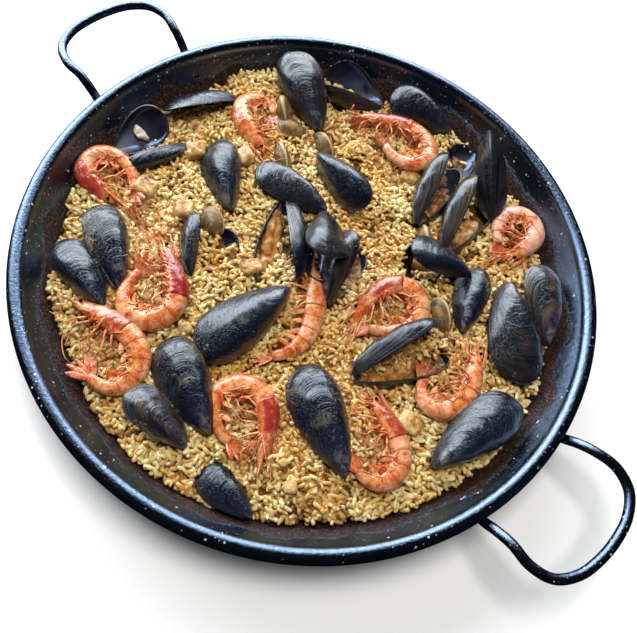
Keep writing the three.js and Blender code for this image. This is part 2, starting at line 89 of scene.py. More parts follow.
# Rice piled above the level: x, y, reach, height.
HEAPS = [(-158, 72, 26, 8), (-150, 95, 16, 4), (55, -143, 24, 3), (-60, 30, 20, 2.5),
         (10, 75, 26, 2.5), (20, -60, 22, 2.5), (100, 5, 22, 2.5), (60, 115, 24, 2.5),
         (-100, -20, 20, 2), (95, -115, 24, 2.5), (-100, 100, 22, 3), (-148, -98, 26, 6),
         (-96, -148, 20, 4)]
GRAIN = {"length": 6.7, "width": 2.95, "spacing": 3.6}
CRUMB = {"length": 5.4, "width": 2.6}
LENGTH_RANGE = (0.72, 1.12)       # of single grains, as shares of the sizes above
WIDTH_RANGE = (0.86, 1.18)
CLUMP = {"across": 13.0, "height": 3.4}     # how the sticky grains hang together
BROKEN = 0.75                     # from here on a browned place is broken into crumbs
SEED = {"grains": 17, "clumps": 23, "strands": 51, "morsels": 61, "crumbs": 77,
        "first_prawn": 201, "grain_sizes": 30, "crumb_sizes": 90}

# ---------------------------------------------------------------- what lies in the rice
# Mussels: name, form, side of the hinge seen from the pointed end (1 left), place of that
# end, turns (yaw, pitch, roll), length, width, gape.
MUSSELS = [
    ("mussel_01", "pair", 1, (-27, 35, 29), (-167, 0, 8), 62, 29, 0),
    ("mussel_02", "open", 1, (-25, 30, 28), (-44, 20, 6), 57, 33, 38),
    ("mussel_03", "open", -1, (77, 81, 30), (-146, 6, -6), 50, 31, 40),
    ("mussel_04", "open", 1, (80, -37, 28), (74, 2, -52), 72, 32, 46),
    ("mussel_05", "pair", -1, (-84, 81, 27), (162, 13, -14), 71, 35, 0),
    ("mussel_06", "open", 1, (-76, 142, 26), (-157, 6, -84), 57, 32, 62),
    ("mussel_07", "pair", 1, (-23, 171, 27), (-163, 6, -22), 57, 32, 0),
    ("mussel_08", "half", 1, (-146, 50, 26), (-113, 2, 52), 60, 26, 0),
    ("mussel_09", "half", 1, (-160, -56, 25), (98, 8, -152), 50, 30, 0),
    ("mussel_10", "half", 1, (-137, -6, 23), (-99, 0, -64), 54, 20, 0),
    ("mussel_11", "pair", 1, (-70, -19, 27), (150, 2, -20), 61, 31, 0),
    ("mussel_12", "open", -1, (-70, 65, 28), (-1, 2, 24), 62, 28, 36),
    ("mussel_13", "open", 1, (23, 83, 28), (112, 2, -50), 67, 27, 34),
    ("mussel_14", "open", 1, (52, 84, 28), (109, 3, -50), 67, 31, 46),
    ("mussel_15", "pair", 1, (56, 132, 28), (141, 16, 72), 71, 30, 0),
    ("mussel_16", "half", 1, (14, 148, 22), (140, 0, 176), 34, 24, 0),
    ("mussel_17", "pair", 1, (104, 46, 27), (120, 2, -14), 53, 27, 0),
    ("mussel_18", "pair", -1, (97, 99, 28), (-38, 0, -4), 77, 39, 0),
    ("mussel_19", "pair", 1, (149, 85, 28), (134, 5, 14), 62, 30, 0),
    ("mussel_20", "pair", 1, (154, -39, 28), (83, 2, 4), 76, 35, 0),
    ("mussel_21", "pair", 1, (123, -84, 28), (158, 0, 0), 76, 36, 0),
    ("mussel_22", "pair", -1, (4, -27, 29), (-89, 0, -6), 78, 38, 0),
    ("mussel_23", "open", 1, (-53, 16, 28), (-43, 0, -56), 70, 31, 48),
    ("mussel_24", "open", 1, (29, -14, 27), (117, 5, -24), 56, 30, 40),
    ("mussel_25", "half", 1, (-45, -73, 26), (142, 0, -58), 51, 25, 0),
    ("mussel_26", "pair", 1, (-67, -117, 27), (153, 2, 26), 65, 31, 0),
    ("mussel_27", "pair", -1, (-62, -131, 28), (177, 2, -6), 56, 28, 0),
    ("mussel_28", "pair", 1, (50, -131, 28), (164, 0, -6), 70, 35, 0),
    ("mussel_29", "open", -1, (46, -147, 26), (-172, 2, -4), 50, 27, 34),
    ("mussel_30", "pair", 1, (104, -143, 24), (-178, -6, 8), 44, 25, 0),
    ("mussel_31", "half", 1, (-34, -47, 22), (160, 0, 168), 34, 22, 0),
]
# Shell colouring of each mussel: how brown it is, and how much sandy dust lies on it.
BROWN = {"mussel_01": .15, "mussel_05": .2, "mussel_13": .55, "mussel_14": .7,
         "mussel_19": .85, "mussel_24": .55, "mussel_18": .25, "mussel_15": .3,
         "mussel_04": .4, "mussel_29": .6, "mussel_02": .35}
DUST = {"mussel_26": .65, "mussel_27": .2, "mussel_28": .5, "mussel_21": .5,
        "mussel_22": .45, "mussel_20": .35, "mussel_17": .5, "mussel_05": .3,
        "mussel_24": .45, "mussel_11": .25, "mussel_18": .25, "mussel_29": .5}
# Meat left in a valve: start and end along it, share of the hollow, how pale it is.
MEAT = {"mussel_03": (.2, .85, .6, .5), "mussel_04": (.1, .6, .55, .4),
        "mussel_13": (.2, .7, .36, .1), "mussel_14": (.2, .62, .62, .8),
        "mussel_23": (.08, .85, .62, .6), "mussel_25": (.25, .75, .7, .7),
        "mussel_09": (.46, .6, .55, 1.6)}
# Patches rubbed bare: place along the shell, place across it, reach.
WORN = {"mussel_22": (.55, .1, .13), "mussel_21": (.47, .25, .14), "mussel_28": (.5, 0, .14),
        "mussel_26": (.6, -.1, .1)}
# How much brown and pale the margins show.
MARGIN = {"mussel_05": .9, "mussel_11": .8, "mussel_22": .5, "mussel_26": .6,
          "mussel_20": .1, "mussel_21": .15, "mussel_01": .1}
# How far the straight margins of a shut pair stand apart at the blunt end.
SLIT = {"mussel_05": 1.0, "mussel_20": 0.5, "mussel_18": 0.3, "mussel_26": 0.5}
# Prawns: name, place of the joint of head and tail part, (yaw, pitch, lean), length along
# the back, greatest half height, curl in degrees, where along the body it is tightest.
PRAWNS = [
    ("prawn_01", (-126, 40, 27), (161, 0, 8), 92, 9, -228, .78),
    ("prawn_02", (-159, -79, 28), (139, 0, 6), 108, 8.8, -231, .44),
    ("prawn_03", (-39, -91, 28), (-45, 0, 0), 132, 9, -250, .62),
    ("prawn_04", (-44, 140, 28), (23, 0, -6), 138, 9, -253, .69),
    ("prawn_05", (83, 150, 27), (127, 0, 0), 105, 9, 242, .5),
    ("prawn_06", (51, 34, 28), (45, 0, 4), 124, 9.2, -241, .48),
    ("prawn_07", (24, -23, 27), (-46, -4, 0), 90, 9, -88, .8),
    ("prawn_08", (-39, -132, 28), (9, 0, 4), 116, 9.4, -213, .77),
    ("prawn_09", (55, -93, 28), (160, 0, 0), 125, 8.8, 242, .58),
    ("prawn_10", (134, 17, 27), (-69, 0, 0), 92, 9.2, -200, .8),
    ("prawn_11", (125, -44, 27), (-21, 0, 0), 90, 9.2, -190, .8),
]
# How crimson the head shield is.
CRIMSON = {"prawn_02": .9, "prawn_03": 1.0, "prawn_04": .9, "prawn_06": .9, "prawn_08": .7,
           "prawn_09": .9, "prawn_11": .8}
# How much of the shell is pale pink.
PINK = {"prawn_05": .8, "prawn_04": .4, "prawn_10": .3, "prawn_07": .2, "prawn_01": .2}
# Routes of single feelers as they lie, from above.
FEELERS = [
    [(-120, -79), (-104, -81), (-93, -80), (-84, -79)],
    [(-120, -79), (-106, -75), (-91, -72), (-76, -72)],
    [(-85, -70), (-100, -60), (-119, -49)], [(-84, -68), (-99, -51), (-111, -38)],
    [(-77, -83), (-80, -91), (-80, -102)], [(89, 117), (89, 103), (89, 90)],
    [(43, -4), (46, -18), (48, -34)], [(44, -5), (45, -22), (42, -35)],
    [(-66, -150), (-64, -162), (-51, -169), (-34, -167)],
    [(-54, -143), (-46, -155), (-37, -151), (-29, -142)],
    [(67, -115), (76, -124), (86, -134)], [(72, -109), (84, -116), (92, -121)],
    [(-84, 115), (-93, 110), (-103, 103)], [(127, 36), (120, 43), (114, 49)],
    [(104, -36), (96, -35), (89, -38)], [(-97, 33), (-87, 34), (-79, 42)],
]
HEAD_UNDER = "prawn_07"           # its head lies under mussels
# Clam valves: name, side of the hinge, place, turns, length, width.
CLAMS = [
    ("clam_1", 1, (-91, 73, 24), (-154, 0, 0), 25, 19),
    ("clam_2", 1, (-106, 66, 24), (152, 20, 76), 24, 17),
    ("clam_3", 1, (-62, 74, 23), (170, 0, 110), 25, 19),
    ("clam_4", 1, (-74, 38, 23), (156, 0, 100), 26, 18),
    ("clam_5", 1, (-60, -36, 24), (170, 0, -30), 24, 22),
    ("clam_6", 1, (46, 72, 23), (143, 0, 84), 27, 18),
    ("clam_7", 1, (96, 40, 23), (155, 0, 108), 26, 20),
]
# Lumps of squid and fish: name, place, half sizes, yaw.
LUMPS = [
    ("squid_1", (-122, -54, 25), (9.5, 8, 7), 20),
    ("squid_2", (-127, -6, 25), (8.5, 7.5, 6.5), 60),
    ("squid_3", (-101, 20, 25), (9.5, 7, 6.5), -15),
    ("squid_4", (-91, -45, 25), (8.5, 8, 7), 40),
    ("squid_5", (-26, -36, 24), (9, 6.5, 6), 75),
    ("squid_6", (125, -29, 25), (10, 8.5, 7), 10),
    ("squid_7", (-13, 110, 24), (8, 6.5, 6), 30),
]
# Small cubes and balls of squid on the rice: x, y, half size, how round (0.5 cube, 1 ball).
MORSELS = [(-12, -173, 3.6, 1.0), (105, -114, 3.8, .6), (-18, -99, 4.6, .5), (91, -108, 3.6, .55),
           (-123, 32, 3.8, .7), (14, 95, 3.6, .6), (-104, 84, 3.4, .7), (-52, 100, 3.6, .6),
           (62, -66, 3.2, .7), (-70, -104, 3.2, .8), (118, 70, 3.2, .7), (-20, 60, 3.4, .6),
           (30, 10, 3.0, .8), (-115, -100, 3.4, .8), (-150, 10, 3.2, .8), (76, 10, 3.2, .6)]
# Loose layers of rice grains, from below: step of the grid as a share of the spacing, lift,
# how rough it lies, tip in degrees, shade, which is painted shade that darkens the lower layers.
GRAIN_LAYERS = [(1.3, -1.4, 0.4, 16, 0.24), (1.08, 0.0, 0.7, 24, 0.46), (1.2, 1.5, 0.9, 32, 0.66)]
# Colours of the darkest, middle and lightest grains of each kind, as a screen shows them; the
# darkest go to grains in painted shade low in the rice and in the cracks, the lightest to grains on
# top.
RICE_KINDS = {
    "golden": ((114, 73, 36), (206, 173, 102), (234, 212, 147)),
    "straw": ((124, 83, 42), (212, 183, 116), (237, 218, 158)),
    "pale": ((138, 97, 54), (218, 195, 135), (239, 226, 178)),
    "amber": ((96, 55, 28), (193, 151, 84), (222, 199, 132)),
    "tan": ((108, 69, 38), (203, 166, 106), (228, 210, 152)),
}
BROWNED_BITS = ((140, 90, 44), (202, 156, 86), (230, 200, 138))


# ---------------------------------------------------------------- the wall's limits
def wall_middle(height):
    """Radius of the middle of the wall's sheet at a height."""
    return PAN["corner_radius"] + WALL_SLOPE * (height - PAN["corner_height"])


def inner_wall(height):
    """Radius of the wall's inner face at a height."""
    return wall_middle(height) - PAN["sheet"] / 2 * math.hypot(1, WALL_SLOPE)


def pressed(points):
    """Flattens against the wall what would pass through it."""
    clear = 0.5                   # what stays between it and the wall
    give = 4.0                    # how deep into the piece the flattening reaches
    radius = np.hypot(points[:, 0], points[:, 1])
    start = inner_wall(points[:, 2]) - clear - give
    beyond = np.maximum(radius - start, 0)
    held = start + give * (1 - np.exp(-beyond / give))
    share = np.where(beyond > 0, held / np.maximum(radius, 1), 1)
    return points * np.stack([share, share, np.ones_like(share)], -1)


def drawn_in(places, length, width):
    """Moves grains whose ends would pass through the wall inwards till they touch it."""
    tip, yaw = np.radians(places[:, 4]), np.radians(places[:, 5])
    way = np.stack([np.cos(tip) * np.cos(yaw), np.cos(tip) * np.sin(yaw), -np.sin(tip)], -1)
    places = places.copy()
    thickness = 0.72 * width      # half of the plumpest grain, and its bend
    for half in (-0.5, 0.5):
        end = places[:, :3] + way * half * (LENGTH_RANGE[1] * length - width)
        over = np.hypot(end[:, 0], end[:, 1]) + thickness - inner_wall(end[:, 2])
        radius = np.hypot(places[:, 0], places[:, 1])
        places[:, :2] *= (1 - np.maximum(over, 0) / np.maximum(radius, 1))[:, None]
    return places


# ---------------------------------------------------------------- mesh helpers
def unit(vectors):
    """Vectors, one in each row, at length 1."""
    return vectors / np.maximum(np.linalg.norm(vectors, axis=-1, keepdims=True), 1e-12)


def placement(place, yaw, pitch, roll):
    """Turned about its own length, lifted at the far end, swung about Z, then put in place."""
    turn = (Matrix.Rotation(math.radians(yaw), 3, "Z")
            @ Matrix.Rotation(math.radians(-pitch), 3, "Y")
            @ Matrix.Rotation(math.radians(roll), 3, "X"))
    return np.array(turn), np.array(place, float)


def moved(points, placed):
    """Points of a piece's own frame, brought to where a placement puts them."""
    turn, place = placed
    return points @ turn.T + place


def brought_back(points, placed):
    """Points of the whole, in the own frame of a piece: the reverse of moved."""
    turn, place = placed
    return (points - place) @ turn


def grid_normals(grid):
    """Normals of a grid of points, by the differences along its rows and columns."""
    along = np.gradient(grid, axis=0)
    across = np.gradient(grid, axis=1)
    return unit(np.cross(along, across))


class Skin:
    """The points, faces, finishes and per-point values of one piece, gathered part by part."""

    def __init__(self, *values):
        self.points = []
        self.faces = []
        self.finish = []
        self.values = {name: [] for name in values}
        self.count = 0

    def add(self, points, faces, finish=0, **values):
        """Adds a part. Its faces count its own points; a value is one number or one a point."""
        points = np.asarray(points, float).reshape(-1, 3)
        self.points.append(points)
        self.faces += [tuple(int(i) + self.count for i in face) for face in faces]
        self.finish += [finish] * len(faces)
        for name, kept in self.values.items():
            given = np.asarray(values.get(name, 0.0), float).reshape(-1)
            kept.append(np.broadcast_to(given, (len(points),)) if len(given) == 1 else given)
        self.count += len(points)

    def tube_grid(self, grid, finish=0, **values):
        """Rings of points in rows, each ring closed, with a point at either end."""
        rows, columns = grid.shape[:2]
        first = rows * columns
        points = np.vstack([grid.reshape(-1, 3), grid[0].mean(0), grid[-1].mean(0)])
        faces = []
        for i in range(rows - 1):
            for j in range(columns):
                k = (j + 1) % columns
                faces.append((i * columns + j, i * columns + k,
                              (i + 1) * columns + k, (i + 1) * columns + j))
        for j in range(columns):
            k = (j + 1) % columns
            faces.append((first, k, j))
            faces.append((first + 1, (rows - 1) * columns + j, (rows - 1) * columns + k))
        spread = {}
        for name, value in values.items():
            value = np.asarray(value, float)
            if value.size > 1:
                value = value.reshape(rows, columns)
                value = np.concatenate([value.ravel(), [value[0].mean(), value[-1].mean()]])
            spread[name] = value
        self.add(points, faces, finish, **spread)

    def piece(self, name, materials, slot, *nodes):
        """Makes the object, which rides on the pan's body and stands for its nodes."""
        mesh = bpy.data.meshes.new(name)
        points = np.vstack(self.points) * MM
        mesh.from_pydata(points, [], self.faces)
        for material in materials:
            mesh.materials.append(material)
        mesh.polygons.foreach_set("material_index", self.finish)
        mesh.polygons.foreach_set("use_smooth", [True] * len(self.faces))
        for label, kept in self.values.items():
            layer = mesh.attributes.new(label, "FLOAT", "POINT")
            layer.data.foreach_set("value", np.concatenate(kept))
        mesh.update()
        if mesh.validate(verbose=False):
            mesh.update()
        settle(bpy.data.objects.new(name, mesh), slot, *nodes)


def settle(piece, slot, *nodes):
    """Puts a finished piece in the scene, on the pan's body, in place of its nodes."""
    bpy.context.scene.collection.objects.link(piece)
    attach(piece, "root")
    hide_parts(*nodes)


def outward(skin):
    """Turns round each closed part whose volume is negative."""
    starts = np.cumsum([0] + [len(points) for points in skin.points])
    points = np.vstack(skin.points)
    owner = np.searchsorted(starts, [face[0] for face in skin.faces], "right") - 1
    total = np.zeros(len(skin.points))
    quads = np.array([face if len(face) == 4 else face + face[-1:] for face in skin.faces])
    a, b, c, d = (points[quads[:, k]] for k in range(4))
    volume = (a * np.cross(b, c)).sum(1) + (a * np.cross(c, d)).sum(1)
    np.add.at(total, owner, volume)
    skin.faces = [face if total[part] > 0 else tuple(reversed(face))
                  for face, part in zip(skin.faces, owner)]
    return skin


def sweep(path, radii, sides, flat=1.0, up=(0, 0, 1)):
    """Rings round a path. flat is the share of the height across its up direction."""
    path = np.asarray(path, float)
    along = unit(np.gradient(path, axis=0))
    side = unit(np.cross(along, np.broadcast_to(up, along.shape)))
    top = np.cross(side, along)
    angle = 2 * np.pi * np.arange(sides) / sides
    ring = (np.cos(angle)[None, :, None] * side[:, None]
            + flat * np.sin(angle)[None, :, None] * top[:, None])
    return path[:, None] + ring * np.broadcast_to(radii, (len(path),))[:, None, None]


def curve_through(points, steps):
    """A centripetal Catmull-Rom curve through the points."""
    points = np.asarray(points, float)
    ends = np.vstack([2 * points[0] - points[1], points, 2 * points[-1] - points[-2]])
    made = []
    for i in range(1, len(ends) - 2):
        p = ends[i - 1:i + 3]
        gaps = np.sqrt(np.linalg.norm(np.diff(p, axis=0), axis=1))
        t = np.concatenate([[0], np.cumsum(gaps)])
        s = np.linspace(t[1], t[2], steps, endpoint=i == len(ends) - 3)[:, None]
        a = [((t[k + 1] - s) * p[k] + (s - t[k]) * p[k + 1]) / (t[k + 1] - t[k])
             for k in range(3)]
        b = [((t[k + 2] - s) * a[k] + (s - t[k]) * a[k + 1]) / (t[k + 2] - t[k])
             for k in range(2)]
        made.append(((t[2] - s) * b[0] + (s - t[1]) * b[1]) / (t[2] - t[1]))
    return np.vstack(made)


def ball_rings(rows, sides, pole):
    """Rings of a unit ball, from an angle pole off one end to as much off the other."""
    polar = np.linspace(pole, np.pi - pole, rows)
    turn = 2 * np.pi * np.arange(sides) / sides
    return np.stack([np.sin(polar)[:, None] * np.cos(turn), np.sin(polar)[:, None] * np.sin(turn),
                     np.cos(polar)[:, None] + 0 * turn], -1)


def waves(points, scale, seed):
    """Smooth unevenness from about -1 to 1 at each point, from a few seeded sine waves."""
    draw = np.random.default_rng(seed)
    count = 7
    total = np.zeros(len(points))
    for _ in range(count):
        way = unit(draw.normal(size=3)) * 2 * np.pi / (scale * draw.uniform(.6, 1.7))
        total += np.sin(points @ way + draw.uniform(0, 2 * np.pi))
    return total / math.sqrt(count)


# ---------------------------------------------------------------- material helper
def srgb(red, green, blue):
    """A colour given as it shows on a screen, from 0 to 255."""
    def linear(value):
        share = value / 255
        return share / 12.92 if share <= 0.04045 else ((share + 0.055) / 1.055) ** 2.4
    return (linear(red), linear(green), linear(blue), 1.0)


SKY = (0.38, 0.6, 1.0, 1.0)      # dark gloss takes the blue of the sky light


def add_node(tree, kind, inputs=None, **settings):
    """A node of a tree. Its inputs take sockets or plain values; settings are its own."""
    made = tree.nodes.new(kind)
    for label, value in settings.items():
        setattr(made, label, value)
    for label, value in (inputs or {}).items():
        if isinstance(value, bpy.types.NodeSocket):
            tree.links.new(value, made.inputs[label])
        else:
            made.inputs[label].default_value = value
    return made


class Finish:
    """A material's node tree, built by short calls that take sockets or plain numbers."""

    def __init__(self, name, **uniform):
        self.material = bpy.data.materials.new(name)
        self.material.use_nodes = True
        self.tree = self.material.node_tree
        self.shader = self.tree.nodes["Principled BSDF"]
        for label, value in uniform.items():
            self.shader.inputs[label.replace("_", " ")].default_value = value
        self.place = self.node("ShaderNodeTexCoord").outputs["Object"]

    def node(self, kind, inputs=None, **settings):
        """A node of this material."""
        return add_node(self.tree, kind, inputs, **settings)

    def value(self, name):
        """One of the values that the piece keeps at its points."""
        return self.node("ShaderNodeAttribute", attribute_name=name).outputs["Fac"]

    def noise(self, scale, detail=3.0, roughness=0.55, vector=None):
        """Noise from 0 to 1. scale counts its patches to the metre."""
        made = self.node("ShaderNodeTexNoise", {
            "Vector": vector or self.place, "Scale": scale, "Detail": detail,
            "Roughness": roughness})
        return made.outputs["Fac"]

    def growth_lines(self, outwards, sideways, detail, roughness):
        """Noise drawn out along a shell's growth lines. outwards counts its patches from the
        pointed end to the margin, sideways those from the keel to a side."""
        vector = self.node("ShaderNodeCombineXYZ", {
            "X": self.times(self.value("growth"), outwards),
            "Y": self.times(self.value("across"), sideways), "Z": self.value("which")})
        return self.noise(1.0, detail, roughness, vector.outputs["Vector"])

    def math(self, operation, first, second=0.0):
        """One operation on two sockets or numbers."""
        return self.node("ShaderNodeMath", {0: first, 1: second},
                         operation=operation).outputs[0]

    def times(self, first, second):
        return self.math("MULTIPLY", first, second)

    def plus(self, first, second):
        return self.math("ADD", first, second)

    def spread(self, value, low, high, start=0.0, end=1.0):
        """value brought from low..high to start..end, smoothly, and held there beyond."""
        made = self.node("ShaderNodeMapRange", {
            "Value": value, "From Min": low, "From Max": high, "To Min": start,
            "To Max": end}, interpolation_type="SMOOTHSTEP")
        return made.outputs["Result"]

    def mix(self, share, first, second, way="MIX"):
        """first where the share is 0 and second where it is 1."""
        made = self.node("ShaderNodeMix", {0: share, 6: first, 7: second},
                         data_type="RGBA", blend_type=way)
        return made.outputs[2]

    def ramp(self, share, *stops):
        """Colours by the share. A stop is its place, then red, green and blue to 255."""
        made = self.node("ShaderNodeValToRGB", {"Fac": share})
        elements = made.color_ramp.elements
        while len(elements) < len(stops):
            elements.new(0.5)
        for element, (position, *colour) in zip(elements, stops):
            element.position = position
            element.color = srgb(*colour)
        return made.outputs["Color"]

    def relief(self, height, distance, strength=1.0, below=None):
        """Bump of a height field from 0 to 1; distance is its height in millimetres."""
        inputs = {"Height": height, "Distance": distance * MM, "Strength": strength}
        if below is not None:
            inputs["Normal"] = below
        return self.node("ShaderNodeBump", inputs).outputs["Normal"]

    def wear(self, **sockets):
        """Links the shader's own sockets, and gives the material back."""
        for label, value in sockets.items():
            self.tree.links.new(value, self.shader.inputs[label.replace("_", " ")])
        return self.material


# ---------------------------------------------------------------- camera, light and floor
def make_camera():
    """The camera: its lens, what it looks at, from how far, from where and how it is held."""
    lens_in_pixels, picture_width, sensor = 650.0, 637.0, 36.0
    elevation, azimuth, tilt = (math.radians(a) for a in (64.65, 31.47, 18.22))
    distance = 0.42506
    target = Vector((0.03545, -0.03122, 0.042))
    back = Vector((math.sin(azimuth) * math.cos(elevation),
                   -math.cos(azimuth) * math.cos(elevation), math.sin(elevation)))
    right = Vector((0, 0, 1)).cross(back).normalized()
    up = back.cross(right)
    across = math.cos(tilt) * right + math.sin(tilt) * up
    upward = -math.sin(tilt) * right + math.cos(tilt) * up
    camera = bpy.data.objects.new("camera", bpy.data.cameras.new("camera"))
    camera.data.sensor_width = sensor
    camera.data.lens = lens_in_pixels / picture_width * sensor
    camera.data.clip_start = 0.01
    turn = Matrix((across, upward, back)).transposed()
    camera.matrix_world = Matrix.Translation(target + distance * back) @ turn.to_4x4()
    bpy.context.scene.collection.objects.link(camera)
    bpy.context.scene.camera = camera


def make_area_light(name, place, target, size, power, colour, mirrored=True):
    """mirrored says whether the light shows in gloss, or only lightens."""
    light = bpy.data.lights.new(name, "AREA")
    light.shape = "RECTANGLE"
    light.size, light.size_y = size
    light.energy = power
    light.color = colour
    lamp = bpy.data.objects.new(name, light)
    way = Vector(place) - Vector(target)
    lamp.matrix_world = Matrix.Translation(place) @ way.to_track_quat("Z", "Y").to_matrix().to_4x4()
    lamp.visible_glossy = mirrored
    bpy.context.scene.collection.objects.link(lamp)


def make_light_and_floor():
    """A large window, a weak light above, a dim pale room and a pale floor."""
    scene = bpy.context.scene
    scene.view_settings.view_transform = "Standard"
    world = bpy.data.worlds.new("pale room")
    world.use_nodes = True
    background = world.node_tree.nodes["Background"]
    background.inputs["Color"].default_value = (0.84, 0.92, 1.0, 1.0)
    background.inputs["Strength"].default_value = 0.1
    world.cycles_visibility.glossy = False      # gloss is black where no light stands
    scene.world = world
    middle = (0.0, 0.0, 0.0)
    make_area_light("window", (-1.06, 0.48, 0.62), middle, (2.2, 0.95), 47.0, (0.93, 0.97, 1.0))
    make_area_light("fill", (0.0, 0.05, 1.3), middle, (0.6, 0.6), 15.0, (1.0, 0.98, 0.95), False)
    half = 6.0
    mesh = bpy.data.meshes.new("pale_floor")
    mesh.from_pydata([(-half, -half, 0), (half, -half, 0), (half, half, 0), (-half, half, 0)],
                     [], [(0, 1, 2, 3)])
    paint = Finish("pale floor", Base_Color=(0.93, 0.93, 0.935, 1.0), Roughness=0.8)
    mesh.materials.append(paint.material)
    floor = bpy.data.objects.new("pale_floor", mesh)
    floor.visible_glossy = False      # dark gloss stays dark where it faces the floor
    scene.collection.objects.link(floor)


# ---------------------------------------------------------------- finishes
def specks(paint, scale, reach, rarity):
    """1 inside small round dots: one for each chosen cell, rarity being the share without."""
    cell = paint.node("ShaderNodeTexVoronoi", {"Vector": paint.place, "Scale": scale})
    inside = paint.math("LESS_THAN", cell.outputs["Distance"], reach)
    chosen = paint.node("ShaderNodeSeparateColor", {"Color": cell.outputs["Color"]})
    return paint.times(inside, paint.math("GREATER_THAN", chosen.outputs["Red"], rarity))


def enamel_finish():
    """Near-black enamel with pale specks and orange peel, and residue burnt on inside."""
    # The blue specular tint is painted reflection: it gives the gloss the blue of the sky light.
    paint = Finish("speckled enamel", IOR=2.3, Specular_Tint=(0.48, 0.67, 1.0, 1.0))
    large = specks(paint, 150.0, 0.105, 0.4)
    fine = specks(paint, 330.0, 0.12, 0.4)
    cloud = paint.noise(40.0)
    base = paint.mix(cloud, srgb(7, 8, 12), srgb(17, 20, 30))
    base = paint.mix(paint.times(fine, 0.8), base, srgb(190, 198, 204))
    base = paint.mix(paint.times(large, 0.9), base, srgb(214, 220, 228))
    burnt = paint.value("burnt")
    rough_edge = paint.plus(paint.times(paint.noise(60.0, 4.0, 0.7), 0.7),
                            paint.noise(620.0, 3.0, 0.7))
    crust = paint.spread(paint.plus(burnt, rough_edge), 1.4, 1.66)
    crust_colour = paint.ramp(paint.noise(700.0, 4.0, 0.8), (0.4, 16, 12, 12),
                              (0.52, 40, 29, 26), (0.6, 96, 66, 50), (0.7, 178, 134, 98))
    colour = paint.mix(crust, base, crust_colour)
    roughness = paint.spread(crust, 0.0, 1.0, 0.12, 0.6)
    peel = paint.relief(paint.noise(520.0, 4.0, 0.75), 0.4, 1.0)
    peel = paint.relief(paint.times(crust, paint.noise(560.0, 4.0)), 0.9, 1.0, peel)
    gloss = paint.spread(crust, 0.0, 0.8, 1.0, 0.15)
    return paint.wear(Base_Color=colour, Roughness=roughness, Specular_IOR_Level=gloss,
                      Normal=peel)


def shell_finish():
    """Blue-black mussel shell with growth lines, brown flanks, pale wear and sandy dust."""
    # The pale blue specular tint is painted reflection: it gives the gloss the blue of the sky
    # light.
    paint = Finish("mussel shell", Specular_IOR_Level=0.75, Coat_Weight=0.4,
                   Coat_Roughness=0.07, Specular_Tint=(0.75, 0.88, 1.0, 1.0))
    growth = paint.value("growth")
    bands = paint.growth_lines(46.0, 0.8, 4.0, 0.75)
    broad = paint.growth_lines(7.0, 2.0, 2.0, 0.5)
    black = paint.mix(paint.spread(bands, 0.3, 0.75), srgb(4, 7, 12), srgb(20, 30, 46))
    brown = paint.mix(bands, srgb(20, 15, 12), srgb(92, 72, 54))
    flank = paint.times(paint.value("brown"), paint.spread(broad, 0.35, 0.6))
    colour = paint.mix(flank, black, brown)
    side = paint.spread(paint.math("ABSOLUTE", paint.value("across")), 0.7, 0.97)
    side = paint.times(side, paint.spread(paint.noise(34.0), 0.45, 0.6))
    side = paint.times(side, paint.value("margin"))
    colour = paint.mix(side, colour, paint.mix(bands, srgb(30, 21, 17), srgb(120, 92, 72)))
    young = paint.times(paint.spread(growth, 0.5, 0.05, 0.0, 0.5), paint.noise(50.0))
    colour = paint.mix(young, colour, srgb(56, 58, 96))
    tip = paint.spread(paint.noise(110.0, 4.0, 0.7), 0.44, 0.6, 0.0, 0.7)
    tip = paint.times(paint.spread(growth, 0.3, 0.1), tip)
    colour = paint.mix(tip, colour, srgb(120, 112, 104))
    worn = paint.plus(paint.value("wear"), paint.times(paint.noise(110.0, 4.0, 0.7), 0.8))
    pits = paint.spread(paint.noise(640.0, 2.0), 0.4, 0.47)
    worn = paint.times(paint.spread(worn, 0.95, 1.2, 0.0, 0.8), pits)
    colour = paint.mix(worn, colour, srgb(78, 80, 64))
    sand = paint.noise(90.0, 5.0, 0.8)
    old = paint.spread(growth, 0.35, 0.95, 0.0, 0.16)
    limit = paint.math("SUBTRACT", 0.87, paint.times(paint.value("dust"), 0.36))
    limit = paint.math("SUBTRACT", limit, old)
    sand = paint.spread(paint.math("SUBTRACT", sand, limit), 0.0, 0.09)
    grit = paint.noise(1300.0, 2.0, 0.6)
    sand = paint.times(sand, paint.spread(grit, 0.48, 0.6))
    colour = paint.mix(sand, colour, paint.mix(grit, srgb(120, 92, 50), srgb(206, 178, 118)))
    roughness = paint.spread(bands, 0.2, 0.8, 0.26, 0.16)
    roughness = paint.plus(roughness, paint.times(sand, 0.3))
    steps = paint.spread(paint.growth_lines(24.0, 0.5, 2.0, 0.6), 0.46, 0.56)
    normal = paint.relief(steps, 0.12, 0.8)
    normal = paint.relief(bands, 0.1, 0.8, normal)
    drops = paint.spread(paint.noise(1000.0, 2.0), 0.54, 0.75)
    normal = paint.relief(drops, 0.15, 1.0, normal)
    normal = paint.relief(sand, 0.6, 1.0, normal)
    return paint.wear(Base_Color=colour, Roughness=roughness, Normal=normal,
                      Coat_Normal=normal)


def nacre_finish():
    """The inside of a mussel shell: pale violet blue, dark at the rim, glossy."""
    paint = Finish("mussel nacre", Roughness=0.2, IOR=1.7, Specular_IOR_Level=0.8,
                   Specular_Tint=SKY)
    growth = paint.value("growth")
    edge = paint.plus(growth, paint.times(paint.noise(60.0), 0.3))
    colour = paint.ramp(edge, (0.4, 104, 108, 122), (0.75, 52, 55, 68), (1.0, 14, 15, 20))
    colour = paint.mix(paint.spread(paint.noise(45.0), 0.45, 0.65), colour, srgb(34, 32, 44))
    normal = paint.relief(paint.noise(150.0), 0.4, 0.5)
    return paint.wear(Base_Color=colour, Normal=normal)


